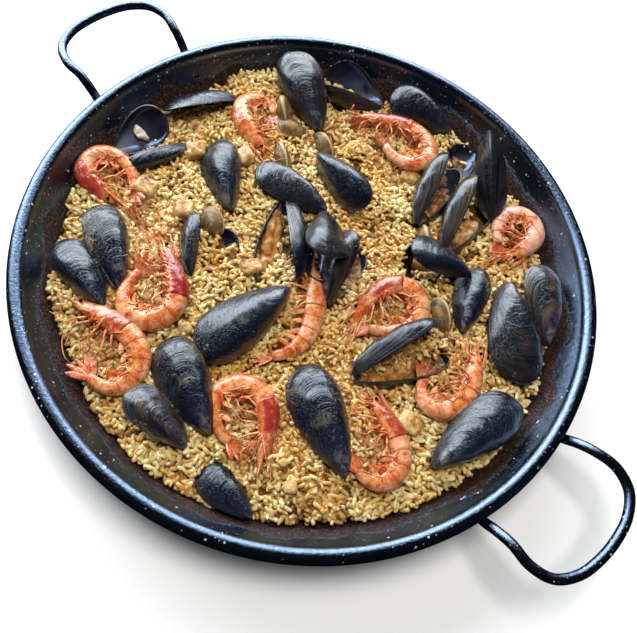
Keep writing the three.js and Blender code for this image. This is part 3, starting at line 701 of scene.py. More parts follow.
def meat_finish():
    """Cooked mussel meat: orange and yellow, with brown patches."""
    paint = Finish("mussel meat", Roughness=0.3, Subsurface_Weight=0.15,
                   Subsurface_Scale=0.002)
    cloud = paint.plus(paint.noise(170.0, 4.0), paint.times(paint.value("pale"), 0.3))
    colour = paint.ramp(cloud, (0.34, 50, 28, 16), (0.5, 122, 70, 30), (0.66, 176, 118, 58),
                        (0.82, 204, 170, 120), (0.95, 206, 200, 188))
    normal = paint.relief(paint.noise(520.0, 3.0), 0.4)
    return paint.wear(Base_Color=colour, Normal=normal)


def prawn_finish():
    """Orange-red prawn shell: redder at each ring's rear edge, pale pink on the flanks, and painted
    shade in darker red-brown on the underside.
    """
    paint = Finish("prawn shell", Specular_IOR_Level=0.6, Roughness=0.26, Coat_Weight=0.6,
                   Coat_Roughness=0.08)
    mottle = paint.noise(150.0, 6.0, 0.8)
    colour = paint.ramp(mottle, (0.35, 130, 44, 20), (0.43, 188, 88, 40), (0.52, 214, 122, 66),
                        (0.61, 232, 164, 110), (0.72, 242, 212, 176))
    pink = paint.value("pink")
    pale = paint.plus(paint.noise(70.0, 6.0, 0.75), paint.times(pink, 0.1))
    pale = paint.spread(pale, 0.5, 0.6, 0.0, 0.6)
    flesh = paint.mix(pink, srgb(238, 190, 144), srgb(242, 198, 186))
    colour = paint.mix(pale, colour, flesh)
    # painted shade: the underside, on the inside of the curl, darker red-brown as if in shadow
    belly = paint.times(paint.value("belly"), 0.75)
    colour = paint.mix(belly, colour, srgb(148, 54, 24))
    edge = paint.spread(paint.value("ring"), 0.75, 1.0, 0.0, 0.55)
    colour = paint.mix(edge, colour, srgb(164, 58, 28))
    spice = paint.times(paint.spread(paint.noise(1100.0, 2.0), 0.56, 0.64),
                        paint.spread(paint.noise(60.0, 2.0), 0.45, 0.6))
    colour = paint.mix(spice, colour, srgb(206, 166, 96))
    crimson = paint.times(paint.value("crimson"),
                          paint.spread(paint.noise(60.0, 5.0, 0.7), 0.32, 0.52))
    colour = paint.mix(crimson, colour, srgb(138, 22, 32))
    normal = paint.relief(paint.noise(160.0, 3.0, 0.5), 1.1, 0.9)
    normal = paint.relief(paint.noise(700.0, 2.0), 0.18, 1.0, normal)
    return paint.wear(Base_Color=colour, Normal=normal, Coat_Normal=normal)


def limb_finish():
    """Legs, feelers and swimmers, darker orange towards their tips."""
    paint = Finish("prawn limbs", Roughness=0.35)
    colour = paint.ramp(paint.value("along"), (0.0, 204, 104, 50), (0.5, 192, 92, 42),
                        (1.0, 136, 58, 28))
    colour = paint.mix(paint.spread(paint.noise(150.0), 0.42, 0.6), colour, srgb(224, 164, 112))
    return paint.wear(Base_Color=colour, Normal=paint.relief(paint.noise(700.0), 0.1))


def eye_finish():
    """Near black and glossy."""
    paint = Finish("prawn eye", Roughness=0.12)
    colour = paint.mix(paint.noise(700.0), srgb(4, 4, 6), srgb(22, 18, 20))
    return paint.wear(Base_Color=colour)


def clam_finish():
    """Tan clam shell with pale growth rings."""
    paint = Finish("clam shell", Roughness=0.4, Coat_Weight=0.2)
    bands = paint.growth_lines(26.0, 1.0, 3.0, 0.7)
    colour = paint.ramp(bands, (0.3, 52, 40, 26), (0.5, 94, 74, 46), (0.7, 142, 118, 78))
    cloud = paint.spread(paint.noise(120.0, 5.0, 0.7), 0.45, 0.6, 0.0, 0.7)
    colour = paint.mix(cloud, colour, srgb(168, 132, 80))
    rim = paint.spread(paint.value("growth"), 0.92, 1.0)
    colour = paint.mix(rim, colour, srgb(196, 172, 132))
    return paint.wear(Base_Color=colour, Normal=paint.relief(bands, 0.4))


def squid_finish():
    """Cooked squid and fish: cream to ochre, with browned patches."""
    paint = Finish("cooked squid", Roughness=0.34, Subsurface_Weight=0.25,
                   Subsurface_Scale=0.003, Coat_Weight=0.2)
    colour = paint.ramp(paint.noise(110.0, 6.0, 0.7), (0.34, 104, 62, 28),
                        (0.43, 168, 122, 66), (0.54, 206, 172, 114), (0.7, 228, 206, 160))
    normal = paint.relief(paint.noise(160.0, 4.0), 1.2)
    normal = paint.relief(paint.noise(520.0, 3.0), 0.4, 1.0, normal)
    return paint.wear(Base_Color=colour, Normal=normal)


def rice_finish(name, dark, middle, light):
    """One kind of rice grain: each grain has its own shade value, which paints shade on grains low
    in the rice and in the cracks and paints those on top lighter, with browner patches.
    """
    paint = Finish(name, Roughness=0.26, Coat_Weight=0.8, Coat_Roughness=0.07,
                   Subsurface_Weight=0.15, Subsurface_Radius=(1.0, 0.9, 0.7),
                   Subsurface_Scale=0.0008)
    # painted shade: the ramp runs from the darkest colour on grains low in the rice to the lightest
    # on top
    shade = paint.plus(paint.times(paint.value("shade"), 0.8),
                       paint.times(paint.noise(330.0, 3.0), 0.2))
    colour = paint.ramp(shade, (0.15, *dark), (0.45, *middle), (0.75, *light))
    stain = paint.spread(paint.noise(30.0, 5.0, 0.7), 0.44, 0.6, 0.0, 0.85)
    colour = paint.mix(stain, colour, srgb(242, 215, 170), "MULTIPLY")
    sauce = paint.spread(paint.noise(120.0, 4.0, 0.7), 0.54, 0.64, 0.0, 0.6)
    colour = paint.mix(sauce, colour, srgb(206, 174, 130), "MULTIPLY")
    return paint.wear(Base_Color=colour, Normal=paint.relief(paint.noise(800.0), 0.12, 0.5))


def bed_finish():
    """The bed between the grains: oily brown, painted dark as shade where it shows between the
    grains, and tan where it is paste.
    """
    paint = Finish("rice bed", Roughness=0.28, Coat_Weight=0.4, Coat_Roughness=0.1)
    # painted shade: the darkest browns of the bed stand for the shade in the gaps between grains
    colour = paint.ramp(paint.noise(240.0, 4.0, 0.7), (0.32, 54, 34, 18), (0.5, 106, 70, 34),
                        (0.68, 172, 128, 70))
    tan = paint.ramp(paint.noise(300.0, 5.0, 0.75), (0.34, 112, 68, 32), (0.48, 186, 132, 72),
                     (0.62, 220, 180, 118))
    colour = paint.mix(paint.value("paste"), colour, tan)
    return paint.wear(Base_Color=colour, Normal=paint.relief(paint.noise(330.0, 4.0), 2.0))


# ---------------------------------------------------------------- pan and handles
def lathe_outline():
    """Radius and height along the sheet's outer and inner face, from the middle to the lip."""
    half = PAN["sheet"] / 2
    start = np.array([PAN["corner_radius"], PAN["corner_height"]])
    top = np.array([PAN["wall_top_radius"], PAN["wall_top_height"]])
    middle = [(r, half) for r in (0.0, 20.0, 60.0, 100.0, 140.0, 158.0, 163.0, PAN["base_radius"])]
    bend = np.array([PAN["base_radius"] + 2.6, half])
    for t in np.linspace(0.2, 1, 5):
        middle.append((1 - t) ** 2 * np.array(middle[7]) + 2 * t * (1 - t) * bend + t * t * start)
    for t in np.linspace(0.06, 1, 22):
        middle.append(start + (top - start) * t)
    centre = (PAN["wall_top_radius"] + PAN["lip_radius"], PAN["wall_top_height"])
    for angle in np.radians(np.linspace(180, PAN["lip_end_angle"], 19))[1:]:
        middle.append((centre[0] + PAN["lip_radius"] * math.cos(angle),
                       centre[1] + PAN["lip_radius"] * math.sin(angle)))
    middle = np.array([tuple(p) for p in middle])
    along = unit(np.gradient(middle, axis=0))
    normal = np.stack([-along[:, 1], along[:, 0]], 1)
    inner = middle + normal * half
    outer = middle - normal * half
    inner[0, 0] = outer[0, 0] = 0.0
    return outer, inner


def make_pan(enamel):
    """The sheet turned round the middle, from under the base over the lip to the inside."""
    outer, inner = lathe_outline()
    segments = 224
    angle = 2 * np.pi * np.arange(segments) / segments
    tip = (outer[-1] + inner[-1]) / 2 + (inner[-1] - outer[-1])[::-1] * (-0.35, 0.35)
    profile = np.vstack([outer[1:], tip, inner[:0:-1]])
    radius, height = profile[:, 0, None], profile[:, 1, None]
    grid = np.stack([radius * np.cos(angle), radius * np.sin(angle),
                     height + 0 * angle], -1)
    flat = grid.reshape(-1, 3)
    is_inner = np.repeat(np.arange(len(profile)) > len(outer) - 1, segments)
    edge = BURNT["edge"] + BURNT["wander"] * waves(flat * (1, 1, 0.2), BURNT["across"], 3)
    burnt = np.clip((edge - flat[:, 2]) / BURNT["fade"] + 0.5, 0, 1) * is_inner
    skin = Skin("burnt")
    skin.tube_grid(grid, burnt=burnt)
    outward(skin).piece("pan_body", [enamel], "enamel", "pan")


def make_handle(name, end, enamel):
    """A bent rod with a bead of weld where each end meets the wall."""
    half = np.array(HANDLE["route"], float)
    route = np.vstack([half, (half * (1, -1, 1))[::-1]]) * (end, end, 1)
    path = curve_through(route, 10)
    wall = wall_middle(path[:, 2]) + PAN["sheet"] / 2
    path = path[np.hypot(path[:, 0], path[:, 1]) > wall - 0.6]
    skin = Skin("burnt")
    rings = sweep(path, HANDLE["rod_radius"], 20)
    skin.tube_grid(rings)
    for way in (path, path[::-1]):
        inwards = unit(way[0] - way[1])
        spots = way[0] + inwards * np.array([[1.6], [0.9], [0.0], [-1.0], [-2.0], [-2.8]])
        skin.tube_grid(sweep(spots, (3.0, 4.4, 4.9, 4.6, 3.9, 3.0), 20))
    outward(skin).piece(f"{name}_rod", [enamel], "enamel", name)


# ---------------------------------------------------------------- shells
# Outline of a valve: powers of its rise and its fall along it, and its greatest value.
OUTLINE = {"mussel": (0.62, 3.2, 0.663), "clam": (0.5, 2.2, 0.72)}
MARGINS = (0.56, 0.44)            # how far each is off the middle: the hinge's, the straight one
SHELL_WALL = 1.3
HINGE_SPAN = (0.09, 0.33)         # along the valve
GRISTLE = 1.7                     # thickness of what holds the valves together
SET_OFF = 0.3 * GRISTLE           # how far a valve stands off the plane between the two
VALVE_ROWS, VALVE_COLUMNS = 46, 34


def half_width(u, kind):
    """Half width of a valve at a share u of its length, as a share of its width."""
    rise, fall, peak = OUTLINE[kind]
    return u ** rise * np.sqrt(np.maximum(1 - u ** fall, 0)) / peak


def keel_depth(u):
    """Depth of a valve at its keel, as a share of the greatest."""
    return u ** 0.45 * np.maximum(1 - u ** 1.2, 0) ** 0.6 / 0.546


def arched(v):
    """Depth of a valve from margin (-1) to margin (1), as a share of that at its keel."""
    return np.maximum(1 - np.abs(v) ** 2.2, 0) ** 0.75


class Valve:
    """One valve: x along it from the pointed end, y across, z up out of its back."""

    def __init__(self, kind, hand, length, width, which, brown=0.1, dust=0.0, margin=0.5):
        self.kind = kind
        self.hand = hand
        self.length = length
        self.width = width
        self.depth = length * 0.185 if kind == "mussel" else width * 0.34
        self.which = which
        self.brown = brown
        self.dust = dust
        self.margin = margin

    def point(self, u, v, crest=0.0):
        """On the outside, v from -1 at the straight margin to 1 at the hinge margin. crest
        moves the keel towards the straight margin."""
        y = self.width * np.where(v > 0, *MARGINS) * v * half_width(u, self.kind)
        depth = self.depth * keel_depth(u) * arched(v + crest * (1 - v ** 2))
        return np.stack([self.length * u, self.hand * y, depth], -1)

    def growth(self, u, v):
        """How grown the shell was when its margin ran through a point, from 0 to 1."""
        wanted = np.abs(v) * half_width(u, self.kind)
        low = np.maximum(u, 1e-4)
        high = np.ones_like(u)
        for _ in range(18):
            size = (low + high) / 2
            wide = size * half_width(np.minimum(u / size, 1), self.kind)
            low = np.where(wide < wanted, size, low)
            high = np.where(wide < wanted, high, size)
        return (low + high) / 2

    def grids(self):
        """Outside and inside of the valve, and the growth and v at their points."""
        rows, columns, wall = VALVE_ROWS, VALVE_COLUMNS, SHELL_WALL
        u = (1 - np.cos(np.linspace(0.05, np.pi - 0.035, rows))) / 2
        v = np.sin(np.linspace(-np.pi / 2, np.pi / 2, columns))
        u, v = np.meshgrid(u, v, indexing="ij")
        crest = 0.22 if self.kind == "mussel" else 0.0
        outside = self.point(u, v, crest)
        growth = self.growth(u, v)
        flat = outside.reshape(-1, 3)
        normal = grid_normals(outside)
        if normal[rows // 2, columns // 2, 2] < 0:
            normal = -normal
        dents = waves(flat, 17.0, 11 + self.which).reshape(u.shape)
        steps = self.ridges(growth)
        fade = np.clip((1 - np.abs(v)) * 6, 0, 1)
        outside = outside + normal * ((0.3 * dents + steps) * fade)[..., None]
        half = self.width * half_width(u, self.kind) / 2
        inset = np.maximum(1 - wall / np.maximum(half, 1e-6), 0.5)
        deep = self.depth * keel_depth(u)
        thin = np.maximum(1 - wall / np.maximum(deep, 1e-6), 0.25)
        inside = self.point(u, v, crest)
        inside[..., 0] = wall * 0.6 + inside[..., 0] * (1 - 1.4 * wall / self.length)
        inside[..., 1] *= inset
        inside[..., 2] *= thin
        return outside, inside, growth, v

    def ridges(self, growth):
        """Height in millimetres of the growth steps that stand out of the back."""
        draw = np.random.default_rng(40 + self.which)
        total = 0.05 * np.sin(growth * 150 + 3 * np.sin(growth * 21))
        for _ in range(6):
            at = draw.uniform(0.35, 0.97)
            total = total - draw.uniform(0.1, 0.3) * np.exp(-((growth - at) / 0.014) ** 2)
        return total

    def hinge(self):
        """The two ends of the hinge, on the margin."""
        return [self.point(np.array(u), np.array(1.0)) for u in HINGE_SPAN]

    def opening(self, angle):
        """The turn about the hinge by an angle, and a point that it leaves in place."""
        near, far = self.hinge()
        turn = Matrix.Rotation(math.radians(-angle * self.hand), 3,
                               Vector(far - near).normalized())
        return np.array(turn), near * (1, 1, 0)

    def swing(self, points, angle, set_off):
        """Turns points about the hinge, and sets them off it."""
        turn, foot = self.opening(angle)
        return (points - foot) @ turn.T + foot + (0, 0, set_off)

    def values(self, growth, v):
        """What the shell finish asks for at each point."""
        return {"growth": growth, "across": v, "which": self.which * 3.7,
                "brown": self.brown, "dust": self.dust, "margin": self.margin}


def add_pair(skin, valve, slit, worn=None):
    """Both valves shut, with the dark line of the margin between them. worn is the place,
    across and reach of a patch rubbed bare."""
    outside, _, growth, v = valve.grids()
    along = outside[..., 0] / valve.length
    gap = 0.16 + slit * along * (1 - v) / 2
    upper = outside + np.stack([0 * gap, 0 * gap, gap], -1)
    lower = outside * (1, 1, -1) - np.stack([0 * gap, 0 * gap, gap], -1)
    tuck = 1.5
    middle = np.array([valve.length * 0.5, 0, 0])
    grooves = []
    for side in (-1, 0):
        margin = outside[:, side]
        groove = margin + unit(middle - margin) * np.minimum(
            tuck, 0.5 * np.linalg.norm(middle - margin, axis=1))[:, None]
        grooves.append(groove[:, None])
    ring = np.concatenate([upper, grooves[0], lower[:, ::-1], grooves[1]], 1)
    one = np.ones((VALVE_ROWS, 1))
    spread = {}
    patch = 0.0
    if worn is not None:
        far = np.hypot(along - worn[0], (v - worn[1]) * 0.2)
        patch = 0.8 * np.exp(-(far / worn[2]) ** 2)
    values = {"wear": patch, **valve.values(growth, v)}
    for name, value in values.items():
        value = np.broadcast_to(value, growth.shape)
        fill = 3.0 * one if name == "growth" else value[:, :1]
        spread[name] = np.concatenate([value, fill, value[:, ::-1], fill], 1)
    skin.tube_grid(ring, 0, **spread)


def add_valve(skin, valve, lay, flip=1.0):
    """A hollow valve. lay puts its points where the hinge or the cook left them."""
    outside, inside, growth, v = valve.grids()
    rows, columns = growth.shape
    values = valve.values(growth, v)
    both = [lay(grid * (1, 1, flip)).reshape(-1, 3) for grid in (outside, inside)]
    size = rows * columns
    order = 1 if valve.hand * flip > 0 else -1
    outer_faces, inner_faces = [], []
    for i in range(rows - 1):
        for j in range(columns - 1):
            face = (i * columns + j, (i + 1) * columns + j,
                    (i + 1) * columns + j + 1, i * columns + j + 1)
            outer_faces.append(face[::order])
            inner_faces.append(tuple(k + size for k in face[::-order]))
    margin = [i * columns for i in range(rows)]
    margin += [(rows - 1) * columns + j for j in range(1, columns)]
    margin += [i * columns + columns - 1 for i in range(rows - 2, -1, -1)]
    margin += [j for j in range(columns - 2, 0, -1)]
    rim = []
    for a, b in zip(margin, margin[1:] + margin[:1]):
        rim.append((a, b, b + size, a + size)[::-order])
    spread = {}
    for name, value in values.items():
        value = np.broadcast_to(value, growth.shape).ravel()
        spread[name] = np.concatenate([value, value])
    first = skin.count
    skin.add(np.vstack(both), outer_faces + rim, 0, **spread)
    skin.faces += [tuple(k + first for k in face) for face in inner_faces]
    skin.finish += [1] * len(inner_faces)


def add_gristle(skin, valve):
    """The brown gristle that holds two valves together along the hinge."""
    near, far = valve.hinge()
    path = near + (far - near) * np.linspace(-0.08, 1.08, 9)[:, None]
    inwards = np.array([0, -valve.hand * 0.3 * GRISTLE, 0])
    radii = GRISTLE * np.array([.35, .8, .95, 1, 1, 1, .95, .8, .35])
    skin.tube_grid(sweep(path + inwards, radii, 10), 0, growth=0.2, which=valve.which,
                   brown=1.0, across=1.0)


def add_meat(skin, valve, lay, start, end, full, pale):
    """Meat in the lower valve, from start to end of its length: a plump lobe with a
    frilled mantle. full is its share of the hollow's width and depth."""
    rows, columns = 34, 26
    along = np.linspace(0.03, 0.97, rows)
    turn = 2 * np.pi * np.arange(columns) / columns
    wide = valve.width * 0.42 * full * half_width(0.1 + 0.86 * along, valve.kind)
    thick = valve.depth * full * keel_depth(0.05 + 0.85 * along)
    frill = 1 + 0.1 * np.sin(9 * turn + 2 * valve.which)[None] * np.sin(17 * along)[:, None]
    across = wide[:, None] * np.cos(turn)[None] * frill
    high = thick[:, None] * np.sin(turn)[None] * 0.62
    crease = 0.28 * thick[:, None] * np.exp(-(np.cos(turn) / 0.25) ** 2)[None]
    high = high - crease * (np.sin(turn) > 0)
    centre = np.stack([valve.length * (start + (end - start) * along),
                       valve.hand * valve.width * 0.05 * half_width(along, valve.kind),
                       -thick * 0.3 - valve.depth * 0.5 * (1 - full)], -1)
    grid = centre[:, None] + np.stack([0 * across, across, high], -1)
    flat = grid.reshape(-1, 3)
    lumps = waves(flat, 7.0, 70 + valve.which).reshape(rows, columns, 1)
    grid = grid + grid_normals(grid) * lumps * 0.5
    skin.tube_grid(lay(grid), 2, pale=pale)


def make_mussel(row, index, finishes):
    """A shut pair, an open pair or a single valve, pressed against the wall if it lies there."""
    name, form, hand, place, turns, length, width, gape = row
    valve = Valve("mussel", hand, length, width, index, BROWN.get(name, 0.05),
                  DUST.get(name, 0.0), MARGIN.get(name, 0.25))
    placed = placement(place, *turns)
    skin = Skin("growth", "across", "which", "brown", "dust", "margin", "wear", "pale")
    if form == "pair":
        add_pair(skin, valve, SLIT.get(name, 0.0), WORN.get(name))
        outward(skin)
    elif form == "half":
        add_valve(skin, valve, lambda points: points)
        if name in MEAT:
            add_meat(skin, valve, lambda points: points * (1, 1, -1), *MEAT[name])
    else:
        add_valve(skin, valve, lambda p: valve.swing(p, gape / 2, SET_OFF))
        add_valve(skin, valve, lambda p: valve.swing(p, -gape / 2, -SET_OFF), -1.0)
        add_gristle(skin, valve)
        if name in MEAT:
            add_meat(skin, valve, lambda p: valve.swing(p, -gape / 2, -SET_OFF), *MEAT[name])
    skin.points = [pressed(moved(points, placed)) for points in skin.points]
    skin.piece(f"{name}_shell", finishes, "mussel_shell", name)


def make_clam(row, index, finish):
    """A small round clam, all but shut."""
    name, hand, place, turns, length, width = row
    valve = Valve("clam", hand, length, width, 50 + index)
    skin = Skin("growth", "across")
    add_pair(skin, valve, 0.5)
    outward(skin)
    placed = placement(place, *turns)
    skin.points = [moved(points, placed) for points in skin.points]
    skin.piece(f"{name}_shell", [finish], "clam_shell", name)


# ---------------------------------------------------------------- prawns
# Half height of the body: places along it, and the heights there as shares of the greatest.
BODY = ([0.0, 0.05, 0.13, 0.24, 0.35, 0.45, 0.55, 0.65, 0.75, 0.85, 0.94, 1.0],
        [0.1, 0.2, 0.55, 0.88, 1.0, 0.96, 0.91, 0.82, 0.7, 0.5, 0.4, 0.1])
HEAD_JOINT = 0.38
RING_ENDS = (0.38, 0.475, 0.575, 0.67, 0.755, 0.835, 0.925)
LATERAL = np.array([0, 0, 1.0])   # out of a prawn's side, in its own frame
BODY_WIDTH = 0.84                 # both as shares of the height of the back
BELLY_HEIGHT = 0.84


class Spine:
    """The middle line of a prawn, with the head joint at the origin and the tail part
    leaving it along X; the curl is spread by a smooth bump."""

    def __init__(self, length, curl, tightest):
        self.steps = 240
        share = np.arange(self.steps + 1) / self.steps
        start, end = 0.25, 0.95
        peak = (tightest - start) / (end - start)
        t = np.clip((share - start) / (end - start), 0, 1)
        bend = t ** (2 * peak) * (1 - t) ** (2 * (1 - peak))
        turned = np.cumsum(bend + 0.08 * bend.max())
        joint = round(HEAD_JOINT * self.steps)
        self.heading = np.radians(curl) * (turned - turned[joint]) / turned[-1]
        middle = (self.heading[1:] + self.heading[:-1]) / 2
        step = np.stack([np.cos(middle), np.sin(middle)], 1) * length / self.steps
        self.line = np.vstack([[0, 0], np.cumsum(step, 0)])
        self.line = self.line - self.line[joint]
        self.back = -math.copysign(1, curl)
        self.share = share

    def at(self, share):
        """Points, headings and directions out of the back at shares of the length."""
        share = np.asarray(share, float)
        point = np.stack([np.interp(share, self.share, self.line[:, 0]),
                          np.interp(share, self.share, self.line[:, 1]), 0 * share], -1)
        heading = np.interp(share, self.share, self.heading)
        ahead = np.stack([np.cos(heading), np.sin(heading), 0 * heading], -1)
        out = np.stack([-np.sin(heading), np.cos(heading), 0 * heading], -1) * self.back
        return point, ahead, out

    def at_one(self, share):
        """The same at one share."""
        return [row[0] for row in self.at([share])]


def body_height(share):
    """Half height of the body, as a share of the greatest."""
    fine = np.linspace(0, 1, 401)
    raw = np.interp(fine, *BODY)
    kernel = np.hanning(31)
    smooth = np.convolve(np.pad(raw, 15, "edge"), kernel / kernel.sum(), "valid")
    return np.interp(share, fine, smooth)


def body_rings(spine, height, shares, scale, sides, lobes):
    """Rings of the body: round back, flatter flanks that hang below a hollow belly."""
    point, _, out = spine.at(shares)
    angle = 2 * np.pi * np.arange(sides) / sides
    up, over = np.cos(angle), np.sin(angle)
    round_belly = np.where(up > 0, 1.0, BELLY_HEIGHT)
    hollow = 1 - 0.3 * np.exp(-((np.abs(angle - np.pi)) / 0.5) ** 2)
    plate = 1 + lobes[:, None] * np.exp(-((np.abs(np.abs(angle - np.pi) - 0.85)) / 0.4) ** 2)
    radius = height * (body_height(shares) * scale)[:, None]
    rise = radius * (up * round_belly * hollow)[None] * plate
    side = radius * BODY_WIDTH * over[None]
    grid = point[:, None] + rise[..., None] * out[:, None]
    grid[..., 2] += side
    return grid, angle


def add_body(skin, spine, height, crimson, pink):
    """The head shield, and the rings of the tail part."""
    sides = 30
    # head shield
    shares = np.concatenate([np.linspace(0.045, 0.15, 9)[:-1], np.linspace(0.15, 0.39, 22)])
    scale = np.ones_like(shares)
    scale[-2:] = (1.03, 1.0)
    grid, angle = body_rings(spine, height, shares, scale * 1.02, sides, 0.1 + 0 * shares)
    groove = np.exp(-((shares[:, None] - 0.22 - 0.035 * np.cos(angle)) / 0.012) ** 2)
    middle = spine.at(shares)[0][:, None]
    grid = middle + (grid - middle) * (1 - 0.07 * groove)[..., None]
    red = crimson * np.clip((shares - 0.1) / 0.08, 0, 1)[:, None] * (
        0.4 + 0.6 * (np.cos(angle) > -0.2))
    # painted shade: how far a point lies on the underside, which the finish darkens as if in shadow
    belly = np.clip(-0.2 - np.cos(angle), 0, 1)
    skin.tube_grid(grid, 0, ring=np.repeat(np.clip((shares - .33) / .06, 0, 1), sides),
                   crimson=red, pink=pink, belly=np.tile(belly, len(shares)))
    # rings of the tail part, each lapping over the next
    for start, end in zip(RING_ENDS[:-1], RING_ENDS[1:]):
        phase = np.array([0, .06, .18, .34, .5, .66, .8, .9, .97, 1.0])
        shares = start - 0.008 + (end - start + 0.014) * phase
        scale = 0.985 + 0.035 * phase ** 2
        scale[0] *= 0.95
        scale[-1] *= 0.985
        lobes = 0.16 * np.sin(np.pi * np.clip(phase * 1.05, 0, 1))
        grid, angle = body_rings(spine, height, shares, scale, sides, lobes)
        skin.tube_grid(grid, 0, ring=np.repeat(phase, sides), crimson=crimson * 0.1,
                       pink=pink, belly=np.tile(belly, len(shares)))


def leaf(length, wide, thick, rows=9, sides=8):
    """A flat tapering leaf along X, such as a tail plate or a swimmer."""
    t = np.linspace(0, 1, rows)
    path = np.stack([length * t, 0 * t, 0 * t], -1)
    half = wide * np.sin(np.pi * (0.12 + 0.86 * t ** 0.8)) ** (1 / 1.6)
    grid = sweep(path, half, sides, thick / wide)
    return grid, np.repeat(t, sides)


def basis(ahead, side):
    """Turns a leaf's frame so that X runs ahead and Y runs to the side."""
    ahead = unit(np.asarray(ahead, float))
    side = np.asarray(side, float)
    side = unit(side - ahead * np.dot(side, ahead))
    return np.stack([ahead, side, np.cross(ahead, side)])


def add_tail(skin, spine, height, twist):
    """The pointed middle plate and two broad plates on each side."""
    point, ahead, out = spine.at_one(0.92)
    turned = math.cos(twist) * LATERAL + math.sin(twist) * out
    reach = height * 1.9
    for spread, long, wide in ((0, .95, .22), (22, 1, .3), (-22, 1, .3), (42, .9, .34),
                               (-42, .9, .34)):
        angle = math.radians(spread)
        way = math.cos(angle) * ahead + math.sin(angle) * turned
        grid, share = leaf(reach * long, reach * wide / 2, 0.55)
        frame_of_leaf = basis(way, np.cross(way, np.cross(ahead, turned)))
        skin.tube_grid(grid @ frame_of_leaf + point, 0, ring=share, crimson=0.5)


def add_limb(skin, path, radius, finish):
    """A thin tube that tapers along a path: a leg or a feeler."""
    t = np.linspace(0, 1, len(path))
    aslant = (0.13, 0.31, 0.94)       # askew, so that hardly any limb runs along it
    skin.tube_grid(sweep(path, radius * (1 - 0.75 * t), 6, up=aslant), finish,
                   along=np.repeat(t, 6))


def add_walking_leg(skin, spine, height, draw, floor, number, side):
    """One of five legs on a side, from its root by a bent knee to its foot on the rice."""
    point, ahead, out = spine.at_one(0.17 + 0.045 * number)
    lean = math.radians(-55 + 26 * number + draw.uniform(-14, 14))
    way = -out * math.cos(lean) + ahead * math.sin(lean)
    start = point - out * height * 0.55 + LATERAL * side * height * 0.4
    reach = height * draw.uniform(1.9, 2.9)
    knee = start + way * reach * 0.5 + LATERAL * side * height * 0.25
    bent = lean + math.radians(draw.uniform(25, 60)) * draw.choice((-1, 1))
    on = -out * math.cos(bent) + ahead * math.sin(bent)
    foot = knee + on * reach * 0.55
    foot[2] = max(foot[2] - height * 0.4, floor)
    route = [start, (start + knee) / 2 + LATERAL * 1.2, knee, (knee + foot) / 2, foot]
    add_limb(skin, curve_through(route, 6), 0.85, 1)


def add_swimmer(skin, spine, height, draw, number, side):
    """One of five small paddles on a side, under the rings of the tail part."""
    share = 0.43 + 0.088 * number
    point, ahead, out = spine.at_one(share)
    grid, t = leaf(height * 1.05, height * 0.22, 0.7, rows=7, sides=6)
    way = -out * 0.75 + ahead * draw.uniform(0.2, 0.8) + LATERAL * side * 0.25
    start = point - out * height * 0.5 * body_height(share) + LATERAL * side * 2.4
    skin.tube_grid(grid @ basis(way, ahead) + start, 1, along=0.6 * t)


def add_eye(skin, spine, height, side):
    """A ball standing out of the side of the head."""
    point, ahead, out = spine.at_one(0.1)
    eye = point + out * height * 0.28 + LATERAL * side * height * 0.42 - ahead * 1.5
    skin.tube_grid(ball_rings(9, 12, 0.15) * 1.4 + eye, 2)


def add_horn(skin, spine, height):
    """The thin horn that the head shield ends in, bent up at its tip."""
    point, ahead, out = spine.at_one(0.17)
    horn = [point + out * height * 0.72, point + out * height * 0.78 - ahead * height * 0.9,
            point + out * height * 0.72 - ahead * height * 1.7,
            point + out * height * 0.85 - ahead * height * 2.3]
    path = curve_through(horn, 7)
    t = np.linspace(0, 1, len(path))
    skin.tube_grid(sweep(path, 1.7 * (1 - 0.85 * t), 8, 0.45, up=LATERAL), 0, ring=0.4,
                   crimson=0.4)


def add_feeler_scale(skin, spine, height, side):
    """The flat scale beside the root of the feelers."""
    point, ahead, _ = spine.at_one(0.08)
    grid, t = leaf(height * 1.3, height * 0.2, 0.6, rows=8, sides=6)
    turn = basis(-ahead + LATERAL * side * 0.25, LATERAL)
    skin.tube_grid(grid @ turn + point + LATERAL * side * 2.0, 1, along=0.5 * t)


def add_limbs(skin, spine, height, draw, floor):
    """Walking legs, swimmers, eyes, horn and scales. floor is the level of the rice in the
    prawn's own frame."""
    for side in (-1, 1):
        for number in range(5):
            add_walking_leg(skin, spine, height, draw, floor, number, side)
        for number in range(5):
            add_swimmer(skin, spine, height, draw, number, side)
        add_eye(skin, spine, height, side)
    add_horn(skin, spine, height)
    for side in (-1, 1):
        add_feeler_scale(skin, spine, height, side)


def make_prawn(row, index, finishes):
    """A whole prawn on its side, curled, pressed against the wall if it lies there."""
    name, place, turns, length, height, curl, tightest = row
    spine = Spine(length, curl, tightest)
    draw = np.random.default_rng(SEED["first_prawn"] - 1 + index)
    skin = Skin("ring", "crimson", "along", "pink", "belly")
    add_body(skin, spine, height, CRIMSON.get(name, 0.15), PINK.get(name, 0.1))
    add_tail(skin, spine, height, draw.uniform(0.7, 1.3))
    floor = rice_level(np.array([place[0]]), np.array([place[1]]))[0] + 1.5 - place[2]
    add_limbs(skin, spine, height, draw, floor)
    placed = placement(place, *turns)
    skin.points = [pressed(moved(points, placed)) for points in skin.points]
    outward(skin).piece(f"{name}_body", finishes, "prawn_shell", name)


# ---------------------------------------------------------------- squid
LUMP_CORE = 0.86                  # a lump's block without its bumps, as a share of its size


